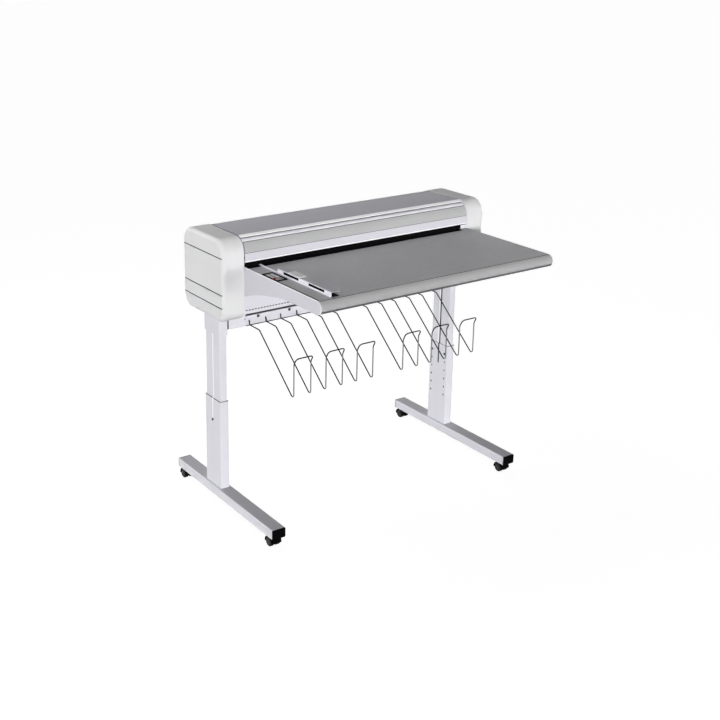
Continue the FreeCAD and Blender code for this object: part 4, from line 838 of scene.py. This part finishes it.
def leg_details(name, side, span):
    """Wiper ring on the leg's top, its dark partly painted shade of the gap there; black in the
    inner slot and in the holes as painted shade; white in the outer slot, partly a painted
    highlight.
    """
    leg = name + "_leg"
    width, depth = LEG_HALF_WIDTH, LEG_HALF_DEPTH
    ring = []
    for y0, y1 in ((-depth + 0.2, -4.2), (4.2, depth - 0.2)):
        y0, y1 = COLUMN_Y + y0, COLUMN_Y + y1
        ring.append((*span(width - 3.8, width - 0.1), y0, y1, LEG_TOP, LEG_TOP + 1.8))
        ring.append((*span(0.1 - width, 3.6 - width), y0, y1, LEG_TOP, LEG_TOP + 0.6))
    for y0, y1 in ((-depth + 0.2, -depth + 3.8), (depth - 3.8, depth - 0.2)):
        y0, y1 = COLUMN_Y + y0, COLUMN_Y + y1
        ring.append((*span(3.8 - width, width - 3.8), y0, y1, LEG_TOP, LEG_TOP + 1.4))
    blocks(name + "_wiper_ring_and_painted_shade", ring, "black_plastic", leg, EDGE_RUBBER_AND_PAINTED_SHADE)
    top = LEG_TOP - 0.2
    wall = span(-width - 0.1, 3.4 - width)
    # Black in the inner slot, painted shade
    painted_slot_shade = [(*wall, COLUMN_Y + 3.5, COLUMN_Y + 3.95, SLOT_BOTTOM + 0.1, top),
             (*wall, COLUMN_Y - 3.95, COLUMN_Y - 3.5, SLOT_BOTTOM + 0.1, top),
             (*wall, COLUMN_Y - 3.95, COLUMN_Y + 3.95, SLOT_BOTTOM, SLOT_BOTTOM + 2)]
    blocks(name + "_slot_painted_shade", painted_slot_shade, "black_plastic", leg)
    # White in the outer slot, brighter than the paint round it, partly a painted highlight
    seal_and_painted_highlight = [(*span(width - 2.5, width + 0.1), COLUMN_Y - 3.7, COLUMN_Y + 3.7, SLOT_BOTTOM + 9.8,
             top)]
    blocks(name + "_slot_seal_and_painted_highlight", seal_and_painted_highlight, "white_paint", leg, GLIDE_PLASTIC_AND_PAINTED_HIGHLIGHT)
    face = side * (COLUMN_X - width)
    # Dark in the holes, painted shade
    painted_hole_shade = [(-side * 0.2, 4.2), (side * 0.1, 4.2), (side * 0.1, 3.4), (side * 1.4, 3.4)]
    if side < 0:
        painted_hole_shade = painted_hole_shade[::-1]
    for kind, rows, material in (("upper", (1, 2), EDGE_RUBBER_AND_PAINTED_SHADE), ("lower", (3, 4, 5), None)):
        places = [(face, COLUMN_Y + y, LEG_TOP - HOLE_DROP - HOLE_PITCH * row)
                  for row in rows for y in (-HOLE_REACH, HOLE_REACH)]
        turned("%s_%s_hole_painted_shade" % (name, kind), places, painted_hole_shade, "x", "black_plastic", leg,
               material)


def column_details():
    """Trims of both columns."""
    for side, name in ((-1, "left"), (1, "right")):
        def span(near, far):
            """Two places across a column, given outwards from its middle, the lower first."""
            return sorted((side * (COLUMN_X + near), side * (COLUMN_X + far)))
        inner_column_details(name, span)
        leg_details(name, side, span)


def rear_screws():
    """Round-head screws along the rear panel's edges."""
    head = [(-0.5, 3.6), (0.7, 3.6), (1.3, 2.9), (1.5, 1.4), (0.4, 1.3), (0.4, 0.3)]
    places = [(x, HEAD_REAR, z) for x in range(-540, 541, 216) for z in (915, 1075)]
    turned("rear_panel_screws", places, head, "y", "dark_steel", "head")


def wheel_hubs():
    """Pressed hub discs on the outer faces of the castors' tyres."""
    disc = [(22.5, 11.0), (22.9, 10.4), (22.9, 7.6), (22.3, 7.0), (22.3, 3.4), (23.1, 2.8),
            (23.1, 0.3)]
    mirrored = [(-distance, radius) for distance, radius in disc[::-1]]
    for end, y in CASTOR_PLACES.items():
        for side, x in (("left", -COLUMN_X), ("right", COLUMN_X)):
            castor = "%s_%s" % (end, side)
            for face, profile in (("outer", disc), ("inner", mirrored)):
                turned("hub_%s_%s" % (face, castor), [(x, y, CASTOR_RADIUS)], profile, "x",
                       "dark_steel", "castor_wheels_" + castor)


# Studio

def shows_background(tree):
    """1 for camera, glossy and transmission rays, which see the pale background."""
    seen = tree.nodes.new("ShaderNodeLightPath")
    total = seen.outputs["Is Camera Ray"]
    for ray in ("Is Glossy Ray", "Is Transmission Ray"):
        add = tree.nodes.new("ShaderNodeMath")
        add.operation = "ADD"
        add.use_clamp = True
        tree.links.new(total, add.inputs[0])
        tree.links.new(seen.outputs[ray], add.inputs[1])
        total = add.outputs[0]
    return total


def studio_floor():
    """Wide floor that is nearly white in the background and keeps the machine's shadow."""
    size = FLOOR_HALF
    mesh = bpy.data.meshes.new("floor")
    corners = [(-size, -size, 0), (size, -size, 0), (size, size, 0), (-size, size, 0)]
    mesh.from_pydata(corners, [], [(0, 1, 2, 3)])
    floor = bpy.data.objects.new("floor", mesh)
    bpy.context.scene.collection.objects.link(floor)
    material = bpy.data.materials.new("floor")
    material.use_nodes = True
    tree = material.node_tree
    tree.nodes.clear()
    output = tree.nodes.new("ShaderNodeOutputMaterial")
    pale = tree.nodes.new("ShaderNodeBsdfDiffuse")
    pale.inputs["Color"].default_value = (FLOOR_PAINT, FLOOR_PAINT, FLOOR_PAINT, 1)
    glow = tree.nodes.new("ShaderNodeEmission")
    glow.inputs["Strength"].default_value = FLOOR_GLOW
    both = tree.nodes.new("ShaderNodeAddShader")
    bounce = tree.nodes.new("ShaderNodeBsdfDiffuse")
    bounce.inputs["Color"].default_value = (FLOOR_BOUNCE, FLOOR_BOUNCE, FLOOR_BOUNCE, 1)
    choice = tree.nodes.new("ShaderNodeMixShader")
    tree.links.new(pale.outputs[0], both.inputs[0])
    tree.links.new(glow.outputs[0], both.inputs[1])
    tree.links.new(shows_background(tree), choice.inputs[0])
    tree.links.new(bounce.outputs[0], choice.inputs[1])
    tree.links.new(both.outputs[0], choice.inputs[2])
    tree.links.new(choice.outputs[0], output.inputs["Surface"])
    mesh.materials.append(material)


def studio_world():
    """Dim light from above and a bright band at the horizon; the background is white."""
    world = bpy.data.worlds.new("studio")
    bpy.context.scene.world = world
    world.use_nodes = True
    tree = world.node_tree
    tree.nodes.clear()
    direction = tree.nodes.new("ShaderNodeTexCoord")
    parts = tree.nodes.new("ShaderNodeSeparateXYZ")
    tree.links.new(direction.outputs["Generated"], parts.inputs["Vector"])
    low = tree.nodes.new("ShaderNodeMapRange")
    low.interpolation_type = "SMOOTHSTEP"
    low.inputs["From Min"].default_value = HORIZON_REACH
    low.inputs["From Max"].default_value = 0.0
    low.inputs["To Min"].default_value = WORLD_LEVEL
    low.inputs["To Max"].default_value = WORLD_LEVEL + HORIZON_LEVEL
    tree.links.new(parts.outputs["Z"], low.inputs["Value"])
    above = tree.nodes.new("ShaderNodeMath")
    above.operation = "GREATER_THAN"
    above.inputs[1].default_value = 0.0
    tree.links.new(parts.outputs["Z"], above.inputs[0])
    band = tree.nodes.new("ShaderNodeMath")
    band.operation = "MULTIPLY"
    tree.links.new(low.outputs["Result"], band.inputs[0])
    tree.links.new(above.outputs[0], band.inputs[1])
    final = tree.nodes.new("ShaderNodeMix")
    final.inputs["B"].default_value = 1.0
    tree.links.new(shows_background(tree), final.inputs["Factor"])
    tree.links.new(band.outputs[0], final.inputs["A"])
    light = tree.nodes.new("ShaderNodeBackground")
    light.inputs["Color"].default_value = (1, 1, 1, 1)
    tree.links.new(final.outputs["Result"], light.inputs["Strength"])
    output = tree.nodes.new("ShaderNodeOutputWorld")
    tree.links.new(light.outputs[0], output.inputs["Surface"])


def distant_lamp():
    """Broad low light from the front left, the same over the machine's whole width."""
    lamp = bpy.data.lights.new("front_light", "SUN")
    lamp.energy = FRONT_LEVEL * math.pi
    lamp.angle = FRONT_SPREAD
    light = bpy.data.objects.new("front_light", lamp)
    light.rotation_euler = (math.pi / 2 - FRONT_HEIGHT, 0, -FRONT_BEARING)
    bpy.context.scene.collection.objects.link(light)


def top_lamp():
    """Square lamp above and behind that lights a face turned to it, at its aim, to its level."""
    lamp = bpy.data.lights.new("top_light", "AREA")
    lamp.shape = "SQUARE"
    lamp.size = TOP_SIZE
    away = Vector(TOP_PLACE) - Vector(TOP_AIM)
    lamp.energy = TOP_LEVEL * math.pi ** 2 * away.length_squared
    light = bpy.data.objects.new("top_light", lamp)
    light.location = TOP_PLACE
    light.rotation_euler = away.to_track_quat("Z", "Y").to_euler()
    bpy.context.scene.collection.objects.link(light)


def photo_camera():
    """Camera at the photograph's place, with its lens and shift."""
    lens = bpy.data.cameras.new("camera")
    lens.lens = CAMERA_LENS
    lens.sensor_width = 36.0
    lens.shift_x, lens.shift_y = CAMERA_SHIFT
    camera = bpy.data.objects.new("camera", lens)
    camera.location = CAMERA_PLACE
    camera.rotation_euler = (math.pi / 2 - CAMERA_PITCH, 0, -CAMERA_YAW)
    bpy.context.scene.collection.objects.link(camera)
    bpy.context.scene.camera = camera


finish_cad_nodes()
wire_racks()
cap_groove_painted_shade()
throat_painted_shade_brush()
cover_trim()
nose_trim()
keypad_details()
panel_trim()
guide_details()
front_wall_details()
column_details()
rear_screws()
wheel_hubs()
studio_floor()
studio_world()
distant_lamp()
top_lamp()
photo_camera()
bpy.context.scene.view_settings.view_transform = "Standard"
